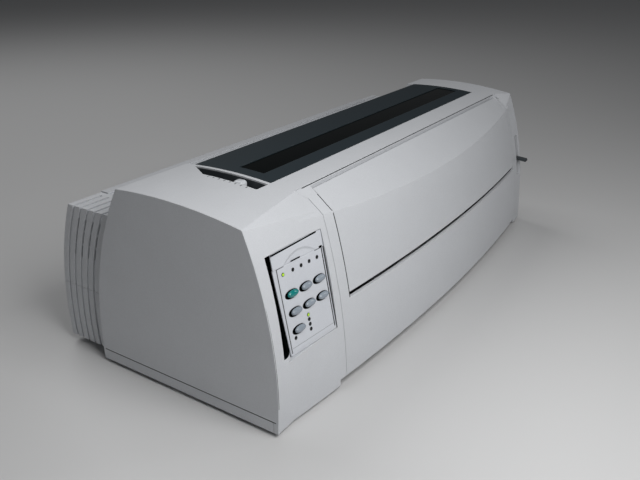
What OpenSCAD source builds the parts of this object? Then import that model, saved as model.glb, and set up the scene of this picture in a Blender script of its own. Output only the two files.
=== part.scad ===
// Wide-carriage dot matrix printer with a domed casing, a lifting front door,
// a dark top cover and a ribbed rear cover.
// Everything is drawn in the frame of the casing: X runs along the platen from the
// left side face, Y runs from the front to the rear, Z rises from the casing's
// underside.  placed() then moves the origin to the middle of the footprint, at the
// level of the surface that the feet stand on.

/* [Casing] */
// Width over the two side faces
case_w = 577; // [560:1:700]
// Height of the crest of the top face above the underside
case_h = 180.7; // [178:0.1:220]
// Thickness of the casing walls
wall = 3; // [2.4:0.1:3.6]
// Depth of the side faces near their foot
side_d = 203.6; // [200:0.1:210]
// Height of the base tray
base_h = 10; // [8:0.5:12]
// Height of the rubber feet
foot_h = 4; // [3:0.5:8]
// Radius of the domed top face
top_r = 490; // [450:10:600]
// How far the front stands out in the middle of its width
bulge = 17.3; // [12:0.1:19]

/* [Door and covers] */
// Thickness of the door and of the top cover
cover_t = 2.5; // [2:0.1:3]
// Gap around the door, the apron and the top cover
panel_gap = 0.4; // [0.3:0.1:0.8]
// Height of the slot under the door
slot_h = 5; // [4.5:0.1:6]
// Height of the slot's lower edge above the underside
slot_z = 78; // [72:1:84]
// Width of the window in the top cover, front to rear
window_d = 28; // [20:1:34]

/* [Rear cover] */
// Height of the rear cover's flat top
rear_h = 147; // [140:1:150]
// Depth from the casing's front to the rear face
rear_d = 260.5; // [258:0.5:270]
// Pitch of the ribs
rib_pitch = 8.5; // [7.5:0.5:9.5]
// Width of the grooves between the ribs
groove_w = 2.4; // [1.5:0.1:3]

/* [Paper drive] */
// Diameter of the platen
platen_d = 38; // [32:1:40]
// Diameter of the platen's shaft
platen_shaft_d = 12; // [10:0.5:14]
// Diameter of the rollers under the platen
pinch_d = 16; // [12:1:18]
// Diameter of the rollers on the paper bail
bail_roller_d = 12; // [10:1:14]
// Diameter of the shafts that carry the tractors
tractor_shaft_d = 8; // [6:0.5:9]
// Tooth pitch module of the gears
gear_m = 1; // [0.9:0.05:1.05]

/* [Carriage] */
// Diameter of the shaft that the carriage slides on
guide_d = 12; // [10:0.5:12]
// Width of the carriage
carriage_w = 56; // [48:1:60]
// Radius of the belt's pitch line on its pulleys
belt_r = 7; // [6:0.1:8]

/* [Operator panel] */
// Length of an oval button
button_w = 14.4; // [12:0.2:15]
// Height of an oval button
button_d = 7.4; // [6:0.2:8]
// Diameter of the round lamps
lamp_d = 2.8; // [2.2:0.1:3.4]

/* [Knob and levers] */
// Diameter of the platen knob
knob_d = 34; // [28:1:40]
// Length of the platen knob
knob_w = 18; // [14:1:24]

/* [Hidden] */
$fn = 72;

// clearances
run_gap = 0.05;      // radial, between a shaft and its bore
move_gap = 0.3;      // between faces of pieces that move past each other
far = 400;           // longer than any piece, for cutting shapes
screw_y = [22, 160]; // rows of the screws that hold the casing on the tray

// radius of an arc from its rise and the half chord that the rise spans
function arc_r(rise, run) = (rise * rise + run * run) / (2 * rise);
// height of the domed top face at depth y
top_apex_y = 115;
function top_z(y) = case_h - top_r + sqrt(top_r * top_r - pow(y - top_apex_y, 2));

// front face of the side profile: an arc that is vertical at front_c_z
front_c_z = 27;
front_y = -2.8;
crease_y = 26.4;
front_r = arc_r(crease_y - front_y, top_z(crease_y) - front_c_z);
function front_at(z) = front_y + front_r - sqrt(front_r * front_r - pow(z - front_c_z, 2));
// rear edge of the side profile
rear_c_z = 20;
rear_top_y = 159.2;
side_rear_r = arc_r(side_d - rear_top_y, top_z(rear_top_y) - rear_c_z);
// rear edge of the side profile at height z
function side_rear_at(z) = side_d - side_rear_r + sqrt(side_rear_r * side_rear_r - pow(z - rear_c_z, 2));
// rear face of the ribbed covers
rib_c_z = 30;
rib_top_y = 236;
rib_r = arc_r(rear_d - rib_top_y, rear_h - rib_c_z);
// the rear covers start here, so that the upper one lifts clear of the casing's arms
arm_gap = 0.6;
rear_front_y = side_rear_at(rear_h + arm_gap) + 0.5;

// front apron and door: limits across the width
apron_x = [94, case_w - 28];
apron_top_x = [85.4, case_w - 30];
apron_y = 40.4;
apron_z = 6;
door_x = [apron_x[0] + 14, apron_x[1] - 8];
door_y = 35;
// the bulge is one dished face: arcs in plan and in profile, foremost below the apron
plan_mid = 0.544 * case_w;
plan_r = arc_r(bulge + 3.8, plan_mid);
plan_c_y = front_y - bulge + plan_r;
bulge_r = 563;
bulge_c_z = -15;
front_min = front_y - bulge + bulge_r - sqrt(bulge_r * bulge_r - pow(apron_z - bulge_c_z, 2));
// the casing's front lip hangs over the front edge of the tray
lip_y = 2.2;
// the slanted face runs out to nothing at the side faces
shoulder_rise = 6.7;
// the flat face above the bulge falls forward from the apron's top line
slant = 0.8;
slant_len = sqrt(1 + slant * slant);
function slant_z(y) = top_z(apron_y) - slant * (apron_y - y);
// door hinge, a barrel just under the skin
barrel_r = 2;
barrel_pin_r = 1.2;
barrel_sink = 2.2;
hinge_y = door_y + barrel_sink * slant / slant_len;
hinge_z = slant_z(door_y) - barrel_sink / slant_len;

// opening for the top cover
cover_x = [84.3, case_w - 46.3];
cover_y = 63.2;
cover_knee_y = 149;
cover_end = [205.5, rear_h + 2.5];
cover_hinge = [162, case_h - 16.7];
cover_pin_r = 2.5;
cheek_t = 3;
// slot of the thickness lever, to the left of the cover
lever_slot_x = [65, cover_x[0] - cheek_t - 0.8];
window_x = [98, case_w - 56];
window_y = 81;

// paper guide on the rear cover
guide_x = [46, case_w - 46];
guide_front = cover_end[0] + 2;
guide_recess = 3.4;
guide_pin_r = 1.4;

// steel frames
frame_t = 2;
frame_x = [84, case_w - 45];   // inner faces
plate_z = 14;

// platen and gear train, seen from the right, all gears in one plane
platen_r = platen_d / 2;
platen = [118, case_h - 64];
gear_x = frame_x[1] + frame_t + 4;
gear_t = 7;
teeth_platen = 40;
teeth_idler = 44;
teeth_tractor = 60;
teeth_reduction = 25;
teeth_pinion = 12;
idler_dir = 224;
tractor_dir = 226;
motor_dir = -35;
function gear_r(teeth) = gear_m * teeth / 2;
function polar(p, r, a) = [p[0] + r * cos(a), p[1] + r * sin(a)];
idler_c = polar(platen, gear_r(teeth_platen + teeth_idler), idler_dir);
tractor_c = polar(idler_c, gear_r(teeth_idler + teeth_tractor), tractor_dir);
reduction_c = polar(platen, gear_r(teeth_platen + teeth_reduction), motor_dir);
pinion_c = polar(reduction_c, gear_r(teeth_reduction + teeth_pinion), motor_dir);
// turn of a gear that lies in direction dir from a gear turned by a1
function mesh_turn(dir, a1, n1, n2) = dir + 180 - (0.5 - (dir - a1) * n1 / 360) * 360 / n2;
turn_idler = mesh_turn(idler_dir, 0, teeth_platen, teeth_idler);
turn_tractor = mesh_turn(tractor_dir, turn_idler, teeth_idler, teeth_tractor);
turn_reduction = mesh_turn(motor_dir, 0, teeth_platen, teeth_reduction);
turn_pinion = mesh_turn(motor_dir, turn_reduction, teeth_reduction, teeth_pinion);
stud_r = 3;
motor_shaft_r = 2;

pinch_r = pinch_d / 2;
pinch_shaft_r = 3;
pinch_c = [platen[0], platen[1] - platen_r - pinch_r - move_gap];
bail_roller_r = bail_roller_d / 2;
bail_shaft_r = 2.5;
bail_c = polar(platen, platen_r + bail_roller_r + 0.4, 123);
bail_pivot = [platen[0] - 38, platen[1] - 5];
roller_count = 5;
roller_pitch = (frame_x[1] - frame_x[0] - 88) / (roller_count - 1);
function roller_x(i) = frame_x[0] + 44 + i * roller_pitch;

// carriage, head and belt
guide_c = [platen[0] - 48, platen[1] - 31];
guide_r = guide_d / 2;
park_x = 138;
head_floor = platen[1] - 15;
nose_y = platen[0] - platen_r - 1.2;
rail_y = platen[0] - 84;
rail_w = 12;
rail_z = guide_c[1] + 5;
rail_t = 2;
pulley_y = platen[0] - 34;
belt_z = guide_c[1] - 17;
belt_h = 6;
belt_t = 1.2;
pulley_x = [frame_x[0] + 28, frame_x[1] - 27];
pulley_r = belt_r - belt_t / 2 - 0.1;
pulley_shaft_r = 2.5;
motor_r = 18;

// tractors
tractor_r = tractor_shaft_d / 2;
support_c = [tractor_c[0] - 27.7, tractor_c[1]];
tractor_w = 26;
tractor_x = [150, case_w - 125];

// ribbon cartridge
ribbon_arm_w = 12;
ribbon_x = [frame_x[0] + 10, frame_x[1] - 10];
ribbon_y = [20, 44];
ribbon_z = [platen[1] + 9, platen[1] + 29];
ribbon_band_h = 13;
ribbon_band_t = 0.3;

// operator panel: a flat plate sunk in the left front of the casing, leaning back and
// turned a little to the left; u runs along it to the right and v up it from panel_at
panel_at = [50, 19.5, 147];
panel_tilt = 12.6;
panel_yaw = -5.45;
recess_u = [-36, 37.4];
recess_v = [-90.6, -0.6];
panel_u = [-22.2, recess_u[1] - move_gap];
panel_t = 2.5;
button_travel = 1.5;
button_places = [[-8.5, -40.4], [8.8, -40.4], [26.1, -40.4],
                 [-8.1, -55.8], [9.2, -55.8], [26.4, -55.8],
                 [-7.8, -71.3]];
lamp_places = [[-14.9, -22.3], [-3, -22.3], [7.2, -22.3], [17.4, -22.3], [27.5, -22.3],
               [4.9, -64.7], [5, -68.7], [5.1, -73.1], [5.2, -77.5], [-14.1, -77.2]];

// levers
thick_pivot = [104, 60];
thick_tip_y = 86;
path_pivot = [45, 92];
path_x = case_w - 11;
path_tip = [-9, 87];
knob_x = case_w + 1.5;
lever_stud_r = 4;

// rear sockets
socket_z = [22, 46];
inlet_x = [28, 84];
port_x = [330, 386];
usb_x = [404, 417];
rear_skin = rear_d - wall;
board_z = 22;

// middle of the footprint
mid_x = (knob_x + knob_w) / 2;
mid_y = (front_min + rear_d) / 2;

module placed() translate([-mid_x, -mid_y, foot_h]) children();
// a shape drawn in the YZ plane, given its length from x0 to x1
module along_x(x0, x1) translate([x0, 0, 0]) rotate([90, 0, 90]) linear_extrude(x1 - x0) children();
module rod_x(x0, x1, c, r) along_x(x0, x1) translate(c) circle(r);
module block(x, y, z)
    translate([x[0], y[0], z[0]]) cube([x[1] - x[0], y[1] - y[0], z[1] - z[0]]);
// flat bar with round ends between two points
module bar2d(a, b, r) {
    translate(a) circle(r);
    translate(b) circle(r);
    translate(a) rotate(atan2(b[1] - a[1], b[0] - a[0])) translate([0, -r * 0.94])
        square([norm(b - a), r * 1.88]);
}
module on_panel(u, v) {
    translate(panel_at) rotate([90 - panel_tilt, 0, panel_yaw]) translate([u, v, 0]) children();
}

// ---- casing shapes ----

// side profile of the casing, drawn in by i
module case_outline(i) {
    intersection() {
        translate([front_y + front_r, front_c_z]) circle(front_r - i);
        translate([top_apex_y, case_h - top_r]) circle(top_r - i);
        translate([side_d - side_rear_r, rear_c_z]) circle(side_rear_r - i);
    }
}
// hollow of the casing: closed behind the arms, open below them at the rear
module case_hollow(i) {
    case_outline(i);
    intersection() {
        translate([front_y + front_r, front_c_z]) circle(front_r - i);
        translate([0, -10]) square([far, rear_h + 10 + arm_gap]);
    }
}
// opening for the apron in plan, drawn in by i
module apron_plan(i) {
    polygon([[apron_top_x[0] + i, apron_y - i], [apron_x[0] - 0.3 + i, 32 - i], [apron_x[0] + i, 19],
             [apron_x[0] + i, -60], [apron_x[1] - i, -60], [apron_x[1] - i, 25],
             [apron_top_x[1] - i, apron_y - i]]);
}
module door_plan(i) {
    polygon([[door_x[0] + i, door_y + 3], [door_x[0] + i, -60], [door_x[1] - i, -60],
             [door_x[1] - i, door_y + 3]]);
}
// the bulged front below the slanted face, drawn in by i
module front_form(i) {
    intersection() {
        translate([plan_mid, plan_c_y, 0]) rotate([0, 0, 260]) rotate_extrude(angle = 20, $fn = 1440)
            intersection() {
                translate([plan_r - bulge_r, bulge_c_z]) circle(bulge_r - i, $fn = 720);
                translate([plan_c_y - 75, 0]) square([110, case_h]);
            }
        along_x(i, case_w - i) polygon([[-60, 0], [apron_y, 0],
            [apron_y, slant_z(apron_y) - i * slant_len], [-60, slant_z(-60) - i * slant_len]]);
    }
}
// layer over the slanted face, from z0 to z1, that tapers from an end of the apron to the
// side face at the distance run
module shoulder(run, z0, z1) {
    translate([0, apron_y, slant_z(apron_y) - 0.15]) rotate([atan(slant), 0, 0])
        rotate([0, atan(shoulder_rise / run), 0]) translate([-run - 20, -100, z0])
            cube([run + 20, 130, z1 - z0]);
}
// the layer at both ends of the apron
module shoulders(z0, z1) {
    translate([apron_x[0], 0, 0]) shoulder(apron_x[0], z0, z1);
    translate([apron_x[1], 0, 0]) mirror([1, 0, 0]) shoulder(case_w - apron_x[1], z0, z1);
}

module thick_slot() {
    polygon([[lever_slot_x[0], cover_y], [lever_slot_x[1], cover_y],
             [lever_slot_x[1], 145.5], [lever_slot_x[0], 122]]);
}

module lower_casing() placed() color("gainsboro") {
    difference() {
        along_x(0, case_w) intersection() {
            case_outline(0);
            translate([lip_y + 0.4, 0]) square([far, base_h]);
        }
        difference() {
            along_x(wall, case_w - wall) intersection() {
                case_outline(wall);
                translate([0, wall]) square([far, far]);
            }
            // posts that carry the chassis plate
            for (x = [frame_x[0] + 8, case_w / 2, frame_x[1] - 8], y = [30, 180])
                translate([x, y, 0]) cylinder(r = 6, h = base_h);
            for (x = [14, case_w - 14], y = screw_y)
                translate([x, y, 0]) cylinder(r = 6, h = base_h);
        }
        // the apron comes down in front of the tray
        block([apron_x[0] - panel_gap, apron_x[1] + panel_gap], [-20, wall + 1.5], [-1, base_h + 1]);
        // screw holes, bored for the heads
        for (x = [14, case_w - 14], y = screw_y) {
            translate([x, y, -1]) cylinder(r = 1.8, h = base_h + 2);
            translate([x, y, -1]) cylinder(r = 3.6, h = 4);
        }
    }
    // the chassis plate stands on these risers
    for (x = [frame_x[0] + 8, case_w / 2, frame_x[1] - 8], y = [30, 180])
        translate([x, y, base_h]) cylinder(r = 4, h = plate_z - frame_t - base_h);
}

module rubber_feet() placed() color("dimgray")
    for (x = [34, case_w - 34], y = [14, 188])
        translate([x, y, -foot_h]) cylinder(r = 8, h = foot_h);

module casing_screws() placed() color("silver")
    for (x = [14, case_w - 14], y = screw_y) {
        translate([x, y, 0.8]) cylinder(r = 3.2, h = 2.2);
        translate([x, y, 3]) cylinder(r = 1.7, h = 22);
    }

module upper_casing() placed() color("gainsboro") difference() {
    union() {
        difference() {
            intersection() {
                union() {
                    along_x(0, case_w) case_outline(0);
                    front_form(0);
                }
                along_x(-1, case_w + 1) {
                    translate([-60, base_h]) square([far, far]);
                    translate([-60, 0]) square([60 + lip_y, far]);
                }
            }
            along_x(wall, case_w - wall) case_hollow(wall);
            translate([0, 0, -0.1]) front_form(wall);
        }
        intersection() {
            along_x(0, case_w) case_outline(0.5);
            union() {
                // skin under the shoulders
                shoulders(-wall, 1);
                // cheeks beside the top cover
                for (x = [cover_x[0] - cheek_t, cover_x[1]])
                    block([x, x + cheek_t], [cover_y - 3, rear_top_y + 30], [rear_h + 1, case_h]);
                // left wall of the lever slot
                block([lever_slot_x[0] - wall, lever_slot_x[0]], [cover_y - 3, 148], [case_h - 16, case_h]);
                // tub of the operator panel
                on_panel(recess_u[0] - 2.5, recess_v[0] - 2.5) translate([0, 0, -panel_t - 5])
                    cube([recess_u[1] - recess_u[0] + 5, recess_v[1] - recess_v[0] + 5, 40]);
                // posts for the screws from below, joined to the side walls
                for (y = screw_y) {
                    for (x = [14, case_w - 14])
                        translate([x, y, base_h]) cylinder(r = 6, h = 20);
                    for (x = [1, case_w - 14])
                        block([x, x + 13], [y - 1.5, y + 1.5], [base_h, base_h + 20]);
                }
            }
        }
    }
    // the space under the top cover
    block([cover_x[0], cover_x[1]], [cover_y, far], [case_h - 60, case_h + 20]);
    // opening for the apron and the door
    translate([0, 0, -1]) linear_extrude(case_h + 20) apron_plan(0);
    block([apron_x[0] - 9, apron_x[0] + 1], [-60, 10], [-1, apron_z]);
    shoulders(0, 60);
    translate([0, 0, 100]) linear_extrude(case_h) thick_slot();
    // recess of the operator panel, with a deeper groove along its left side
    on_panel(recess_u[0], recess_v[0]) translate([0, 0, -panel_t])
        cube([recess_u[1] - recess_u[0], recess_v[1] - recess_v[0], 40]);
    on_panel(recess_u[0], recess_v[0]) translate([0, 0, -panel_t - 3])
        cube([panel_u[0] - 2 - recess_u[0], recess_v[1] - recess_v[0], 10]);
    // a ledge is left under the panel at its left, top and bottom
    on_panel(panel_u[0] + 2.5, recess_v[0] + 2.5) translate([0, 0, -30])
        cube([recess_u[1] - panel_u[0] - 2.5, recess_v[1] - recess_v[0] - 5, 40]);
    // slot of the paper path lever
    block([path_x - 4.4, path_x + 4.4], [-20, 30], [65, 119]);
    // hole for the platen shaft
    rod_x(case_w - wall - 1, case_w + 1, platen, platen_shaft_d / 2 + 3);
    // bearings of the top cover's pins
    for (x = [cover_x[0] - cheek_t - 1, cover_x[1] - 1])
        rod_x(x, x + cheek_t + 2, cover_hinge, cover_pin_r + run_gap);
    for (x = [14, case_w - 14], y = screw_y)
        translate([x, y, base_h - 1]) cylinder(r = 1.75, h = 18);
}

module front_apron() placed() color("gainsboro") difference() {
    union() {
        difference() {
            intersection() {
                front_form(0);
                translate([0, 0, apron_z]) linear_extrude(case_h) apron_plan(panel_gap);
            }
            front_form(wall);
            // opening for the door and the slot under it
            translate([0, 0, slot_z]) linear_extrude(case_h) door_plan(-panel_gap);
        }
        // eyes for the door's hinge pins, behind the side strips
        for (x = [door_x[0] - 6.4, door_x[1] + 0.4])
            rod_x(x, x + 6, [hinge_y, hinge_z], barrel_sink - 0.1);
    }
    for (x = [door_x[0] - 5.5, door_x[1] - 0.5])
        rod_x(x, x + 6, [hinge_y, hinge_z], barrel_pin_r + run_gap);
    // the top strip stays clear of the barrel
    block([door_x[0] - panel_gap, door_x[1] + panel_gap], [0, hinge_y + barrel_r + 0.6],
        [case_h - 30, case_h]);
}

module front_door() placed() color("gainsboro") {
    difference() {
        intersection() {
            front_form(0);
            translate([0, 0, slot_z + slot_h]) linear_extrude(case_h) door_plan(0);
        }
        front_form(cover_t);
        // the skin ends at the hinge barrel
        block([0, case_w], [hinge_y, far], [0, far]);
    }
    rod_x(door_x[0], door_x[1], [hinge_y, hinge_z], barrel_r);
    rod_x(door_x[0] - 5, door_x[0], [hinge_y, hinge_z], barrel_pin_r);
    rod_x(door_x[1], door_x[1] + 5, [hinge_y, hinge_z], barrel_pin_r);
}

// ---- top cover ----

cover_slope = (cover_end[1] - top_z(cover_knee_y)) / (cover_end[0] - cover_knee_y);
cover_slope_len = sqrt(1 + cover_slope * cover_slope);
module cover_outline(i) {
    intersection() {
        translate([top_apex_y, case_h - top_r]) circle(top_r - i);
        polygon([[cover_y + panel_gap, 0], [cover_end[0], 0],
            [cover_end[0], cover_end[1] - i * cover_slope_len],
            [cover_knee_y - 40, top_z(cover_knee_y) - 40 * cover_slope - i * cover_slope_len],
            [cover_y + panel_gap, far]]);
    }
}
module top_cover() placed() color("darkslategray") {
    x = [cover_x[0] + panel_gap, cover_x[1] - panel_gap];
    difference() {
        union() {
            along_x(x[0], x[1]) difference() {
                cover_outline(0);
                cover_outline(cover_t);
            }
            // skirts with bosses at the hinge
            for (s = [x[0], x[1] - cover_t]) {
                along_x(s, s + cover_t) difference() {
                    cover_outline(0.1);
                    cover_outline(9);
                }
                rod_x(s, s + cover_t, cover_hinge, cover_pin_r + 2.5);
                along_x(s, s + cover_t) translate([cover_hinge[0] - 4, cover_hinge[1]]) square([8, 4]);
            }
        }
        block([window_x[0], window_x[1]], [window_y, window_y + window_d], [case_h - 20, case_h + 5]);
    }
    rod_x(x[0] - cheek_t, x[0], cover_hinge, cover_pin_r);
    rod_x(x[1], x[1] + cheek_t, cover_hinge, cover_pin_r);
}
module window_strip(x, y, i, t) {
    along_x(x[0], x[1]) difference() {
        intersection() {
            translate([top_apex_y, case_h - top_r]) circle(top_r - i);
            translate([y[0], 0]) square([y[1] - y[0], far]);
        }
        translate([top_apex_y, case_h - top_r]) circle(top_r - i - t);
    }
}
module view_window() placed() color("black") {
    window_strip([window_x[0] + 0.1, window_x[1] - 0.1], [window_y + 0.1, window_y + window_d - 0.1],
        0.8, cover_t - 0.8);
    window_strip([window_x[0] - 4, window_x[1] + 4], [window_y - 4, window_y + window_d + 4],
        cover_t + 0.05, 1.2);
}

// ---- rear covers ----

module rear_outline(i) {
    intersection() {
        translate([rear_d - rib_r, rib_c_z]) circle(rib_r - i);
        translate([rear_front_y, 4 + i]) square([far, rear_h - 4 - 2 * i]);
    }
}
module rear_shell() {
    difference() {
        along_x(rear_x[0], rear_x[1]) rear_outline(0);
        along_x(rear_x[0] + wall, rear_x[1] - wall) {
            rear_outline(wall);
            translate([150, 4 + wall]) square([50, rear_h - 4 - 2 * wall]);
        }
    }
}
rear_x = [8.1, case_w - 8.1];
rear_seam_z = 63;
rib_count = 6;
groove_depth = 1.5;
// ring that follows the rear arc, k pitches in front of it
module rib_ring(k, w) {
    difference() {
        translate([rear_d - rib_r, rib_c_z]) circle(rib_r - k * rib_pitch + w);
        translate([rear_d - rib_r, rib_c_z]) circle(rib_r - k * rib_pitch);
    }
}
module rib_grooves() {
    for (k = [1:rib_count]) {
        for (x = [rear_x[0] - 1, rear_x[1] - groove_depth])
            along_x(x, x + groove_depth + 1) intersection() {
                rib_ring(k, groove_w);
                square([far, far]);
            }
        for (x = [[rear_x[0] - 1, guide_x[0] - 6], [guide_x[1] + 6, rear_x[1] + 1]])
            along_x(x[0], x[1]) intersection() {
                rib_ring(k, groove_w);
                translate([0, rear_h - groove_depth]) square([far, 20]);
            }
    }
}
vent_len = 11.5;
module rib_vents() {
    for (k = [2:rib_count], row = [0:2], x = [rear_x[0] - 1, rear_x[1] - wall - 1])
        along_x(x, x + wall + 2) intersection() {
            rib_ring(k, groove_w);
            translate([0, 96 + row * (vent_len + 2.5)]) square([far, vent_len]);
        }
}
module rear_cover() placed() color("gainsboro") difference() {
    union() {
        intersection() {
            rear_shell();
            block([0, case_w], [0, far], [rear_seam_z + panel_gap, far]);
        }
        // tray that the paper guide folds into
        along_x(guide_x[0] - 3, guide_x[1] + 3) intersection() {
            rear_outline(0.5);
            translate([guide_front - 3, rear_h - guide_recess - 2.5]) square([far, 20]);
        }
    }
    block([cover_x[0] - 1.5, cover_x[1] + 1.5], [0, guide_front - 1], [rear_h - 20, far]);
    block([guide_x[0], guide_x[1]], [guide_front - 1, rib_top_y + 10],
        [rear_h - guide_recess, far]);
    for (x = [guide_x[0] - 2.5, guide_x[1] - 0.5])
        rod_x(x, x + 3, [guide_front + 2.5, rear_h - 1.7], guide_pin_r + run_gap);
    rib_grooves();
    rib_vents();
}
module paper_guide() placed() color("lightgray") {
    x = [guide_x[0] + move_gap, guide_x[1] - move_gap];
    pin = [guide_front + 2.5, rear_h - 1.7];
    along_x(x[0], x[1]) {
        translate([pin[0], rear_h - guide_recess + move_gap]) square([rib_top_y - pin[0], 2.6]);
        translate([rib_top_y - 9, rear_h - guide_recess + move_gap])
            square([9, guide_recess + 1.2 - move_gap]);
    }
    rod_x(x[0], x[1], pin, 1.4);
    rod_x(x[0] - 2, x[0], pin, guide_pin_r);
    rod_x(x[1], x[1] + 2, pin, guide_pin_r);
}
module rear_lower_casing() placed() color("gainsboro") difference() {
    intersection() {
        rear_shell();
        block([0, case_w], [0, far], [0, rear_seam_z]);
    }
    // it stands on the rear edge of the tray
    block([0, case_w], [0, side_d + 0.5], [0, base_h]);
    rib_grooves();
    block([inlet_x[0], inlet_x[1]], [rear_d - 10, rear_d + 5], socket_z);
    block([port_x[0], port_x[1]], [rear_d - 10, rear_d + 5], [board_z + 1.6, board_z + 13.6]);
    block([usb_x[0], usb_x[1]], [rear_d - 10, rear_d + 5], [board_z + 1.6, board_z + 13.6]);
}

// ---- frames ----

module frame_outline() {
    polygon([[14, plate_z - frame_t], [190, plate_z - frame_t], [190, 60],
             [pinion_c[0] + 25, pinion_c[1] + 20], [platen[0] + 24, platen[1] + 16],
             [bail_c[0] + 8, bail_c[1] + 8], [bail_pivot[0] - 12, bail_pivot[1] + 12],
             [rail_y - 8, rail_z + 10], [18, tractor_c[1] + 8], [14, tractor_c[1]]]);
}
module frame_holes() {
    translate(platen) circle(platen_shaft_d / 2 + 3);
    translate(pinch_c) circle(pinch_shaft_r + run_gap);
    translate(bail_pivot) circle(bail_shaft_r + run_gap);
    translate(tractor_c) circle(tractor_r + run_gap);
}
module left_side_frame() placed() color("silver") {
    along_x(frame_x[0] - frame_t, frame_x[0]) difference() {
        frame_outline();
        frame_holes();
    }
    // stud of the thickness lever
    rod_x(66, frame_x[0] - frame_t, thick_pivot, lever_stud_r);
}
module right_side_frame() placed() color("silver") {
    along_x(frame_x[1], frame_x[1] + frame_t) difference() {
        frame_outline();
        frame_holes();
        translate(pinion_c) circle(motor_shaft_r + 1);
    }
    for (c = [idler_c, reduction_c])
        rod_x(frame_x[1] + frame_t, gear_x + gear_t + 1.5, c, stud_r);
    rod_x(frame_x[1] + frame_t, path_x + 4, path_pivot, lever_stud_r);
}
module chassis_plate() placed() color("silver") {
    block([frame_x[0], frame_x[1]], [14, 190], [plate_z - frame_t, plate_z]);
    // post of the idler pulley
    translate([pulley_x[1], pulley_y, plate_z]) {
        cylinder(r = 6, h = belt_z - plate_z - 2);
        cylinder(r = pulley_shaft_r, h = belt_z + belt_h - plate_z + 1.5);
    }
}
module guide_shaft() placed() color("lightgray") rod_x(frame_x[0], frame_x[1], guide_c, guide_r);
module front_guide_rail() placed() color("silver")
    block([frame_x[0], frame_x[1]], [rail_y, rail_y + rail_w], [rail_z, rail_z + rail_t]);
module tractor_support_shaft() placed() color("lightgray")
    rod_x(frame_x[0], frame_x[1], support_c, tractor_r);

// ---- paper path ----

module paper_pan() placed() color("dimgray") difference() {
    along_x(frame_x[0], frame_x[1]) intersection() {
        difference() {
            translate(platen) circle(platen_r + 2.4);
            translate(platen) circle(platen_r + 1.2);
        }
        translate(platen) polygon([[0, 0], polar([0, 0], 60, 218), [0, -70], polar([0, 0], 60, 322)]);
    }
    for (i = [0:roller_count - 1])
        block([roller_x(i) - 14.5, roller_x(i) + 14.5], [pinch_c[0] - 9.5, pinch_c[0] + 9.5],
            [pinch_c[1], platen[1]]);
}
module platen_bushings() placed() color("white")
    for (s = [0, 1]) {
        x = frame_x[s];
        along_x(x - frame_t * (1 - s), x + frame_t * s) difference() {
            translate(platen) circle(platen_shaft_d / 2 + 3);
            translate(platen) circle(platen_shaft_d / 2 + run_gap);
        }
        along_x(s == 0 ? x : x - 1.5, s == 0 ? x + 1.5 : x) difference() {
            translate(platen) circle(platen_shaft_d / 2 + 5);
            translate(platen) circle(platen_shaft_d / 2 + run_gap);
        }
    }
module platen_roller() placed() color("#202020") difference() {
    rod_x(frame_x[0] + 4, frame_x[1] - 4, platen, platen_r);
    rod_x(frame_x[0], frame_x[1], platen, platen_shaft_d / 2);
}
module platen_shaft() placed() color("lightgray")
    rod_x(frame_x[0] - 6, knob_x + knob_w - 4, platen, platen_shaft_d / 2);
module platen_knob() placed() color("#303030") difference() {
    rod_x(knob_x, knob_x + knob_w, platen, knob_d / 2);
    rod_x(knob_x - 1, knob_x + knob_w - 4, platen, platen_shaft_d / 2);
    for (a = [0:20:340])
        rod_x(knob_x + 3, knob_x + knob_w + 1, polar(platen, knob_d / 2 + 1, a), 2);
}
// spur gear with straight-sided teeth, thinner than half the pitch for backlash
module gear2d(teeth, bore) {
    r = gear_r(teeth);
    pitch = 360 / teeth;
    root = r - 1.2 * gear_m;
    tip = r + 0.85 * gear_m;
    difference() {
        polygon([for (i = [0:teeth - 1], p = [[root, -0.29], [tip, -0.12], [tip, 0.12], [root, 0.29]])
            polar([0, 0], p[0], (i + p[1]) * pitch)]);
        circle(bore);
    }
}
module gear_at(c, teeth, bore, turn) {
    along_x(gear_x, gear_x + gear_t) translate(c) rotate(turn) gear2d(teeth, bore);
}
module platen_gear() placed() color("ivory") gear_at(platen, teeth_platen, platen_shaft_d / 2, 0);
module front_idler_gear() placed() color("ivory")
    gear_at(idler_c, teeth_idler, stud_r + run_gap, turn_idler);
module reduction_gear() placed() color("ivory")
    gear_at(reduction_c, teeth_reduction, stud_r + run_gap, turn_reduction);
module motor_pinion() placed() color("goldenrod")
    gear_at(pinion_c, teeth_pinion, motor_shaft_r + run_gap, turn_pinion);
module tractor_drive_shaft() placed() {
    color("lightgray") rod_x(frame_x[0] - frame_t, gear_x + gear_t, tractor_c, tractor_r);
    color("ivory") gear_at(tractor_c, teeth_tractor, tractor_r, turn_tractor);
}
module feed_motor() placed() color("dimgray") {
    rod_x(frame_x[1] - 30, frame_x[1], pinion_c, motor_r);
    rod_x(frame_x[1], gear_x + gear_t + 1, pinion_c, motor_shaft_r);
}
module pinch_rollers() placed() color("#2a2a2a") {
    rod_x(frame_x[0] - frame_t, frame_x[1] + frame_t, pinch_c, pinch_shaft_r);
    for (i = [0:roller_count - 1])
        rod_x(roller_x(i) - 13, roller_x(i) + 13, pinch_c, pinch_r);
}
module bail_frame() placed() color("silver") {
    for (x = [frame_x[0] + 2, frame_x[1] - 4])
        along_x(x, x + 2) bar2d(bail_pivot, bail_c, 4);
    rod_x(frame_x[0] + 3, frame_x[1] - 3, bail_c, bail_shaft_r);
    rod_x(frame_x[0] - frame_t, frame_x[0] + 3, bail_pivot, bail_shaft_r);
    rod_x(frame_x[1] - 3, frame_x[1] + frame_t, bail_pivot, bail_shaft_r);
}
module bail_rollers() placed() color("#2a2a2a") difference() {
    for (i = [0:roller_count - 1])
        rod_x(roller_x(i) - 11, roller_x(i) + 11, bail_c, bail_roller_r);
    rod_x(frame_x[0], frame_x[1], bail_c, bail_shaft_r + run_gap);
}

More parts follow.
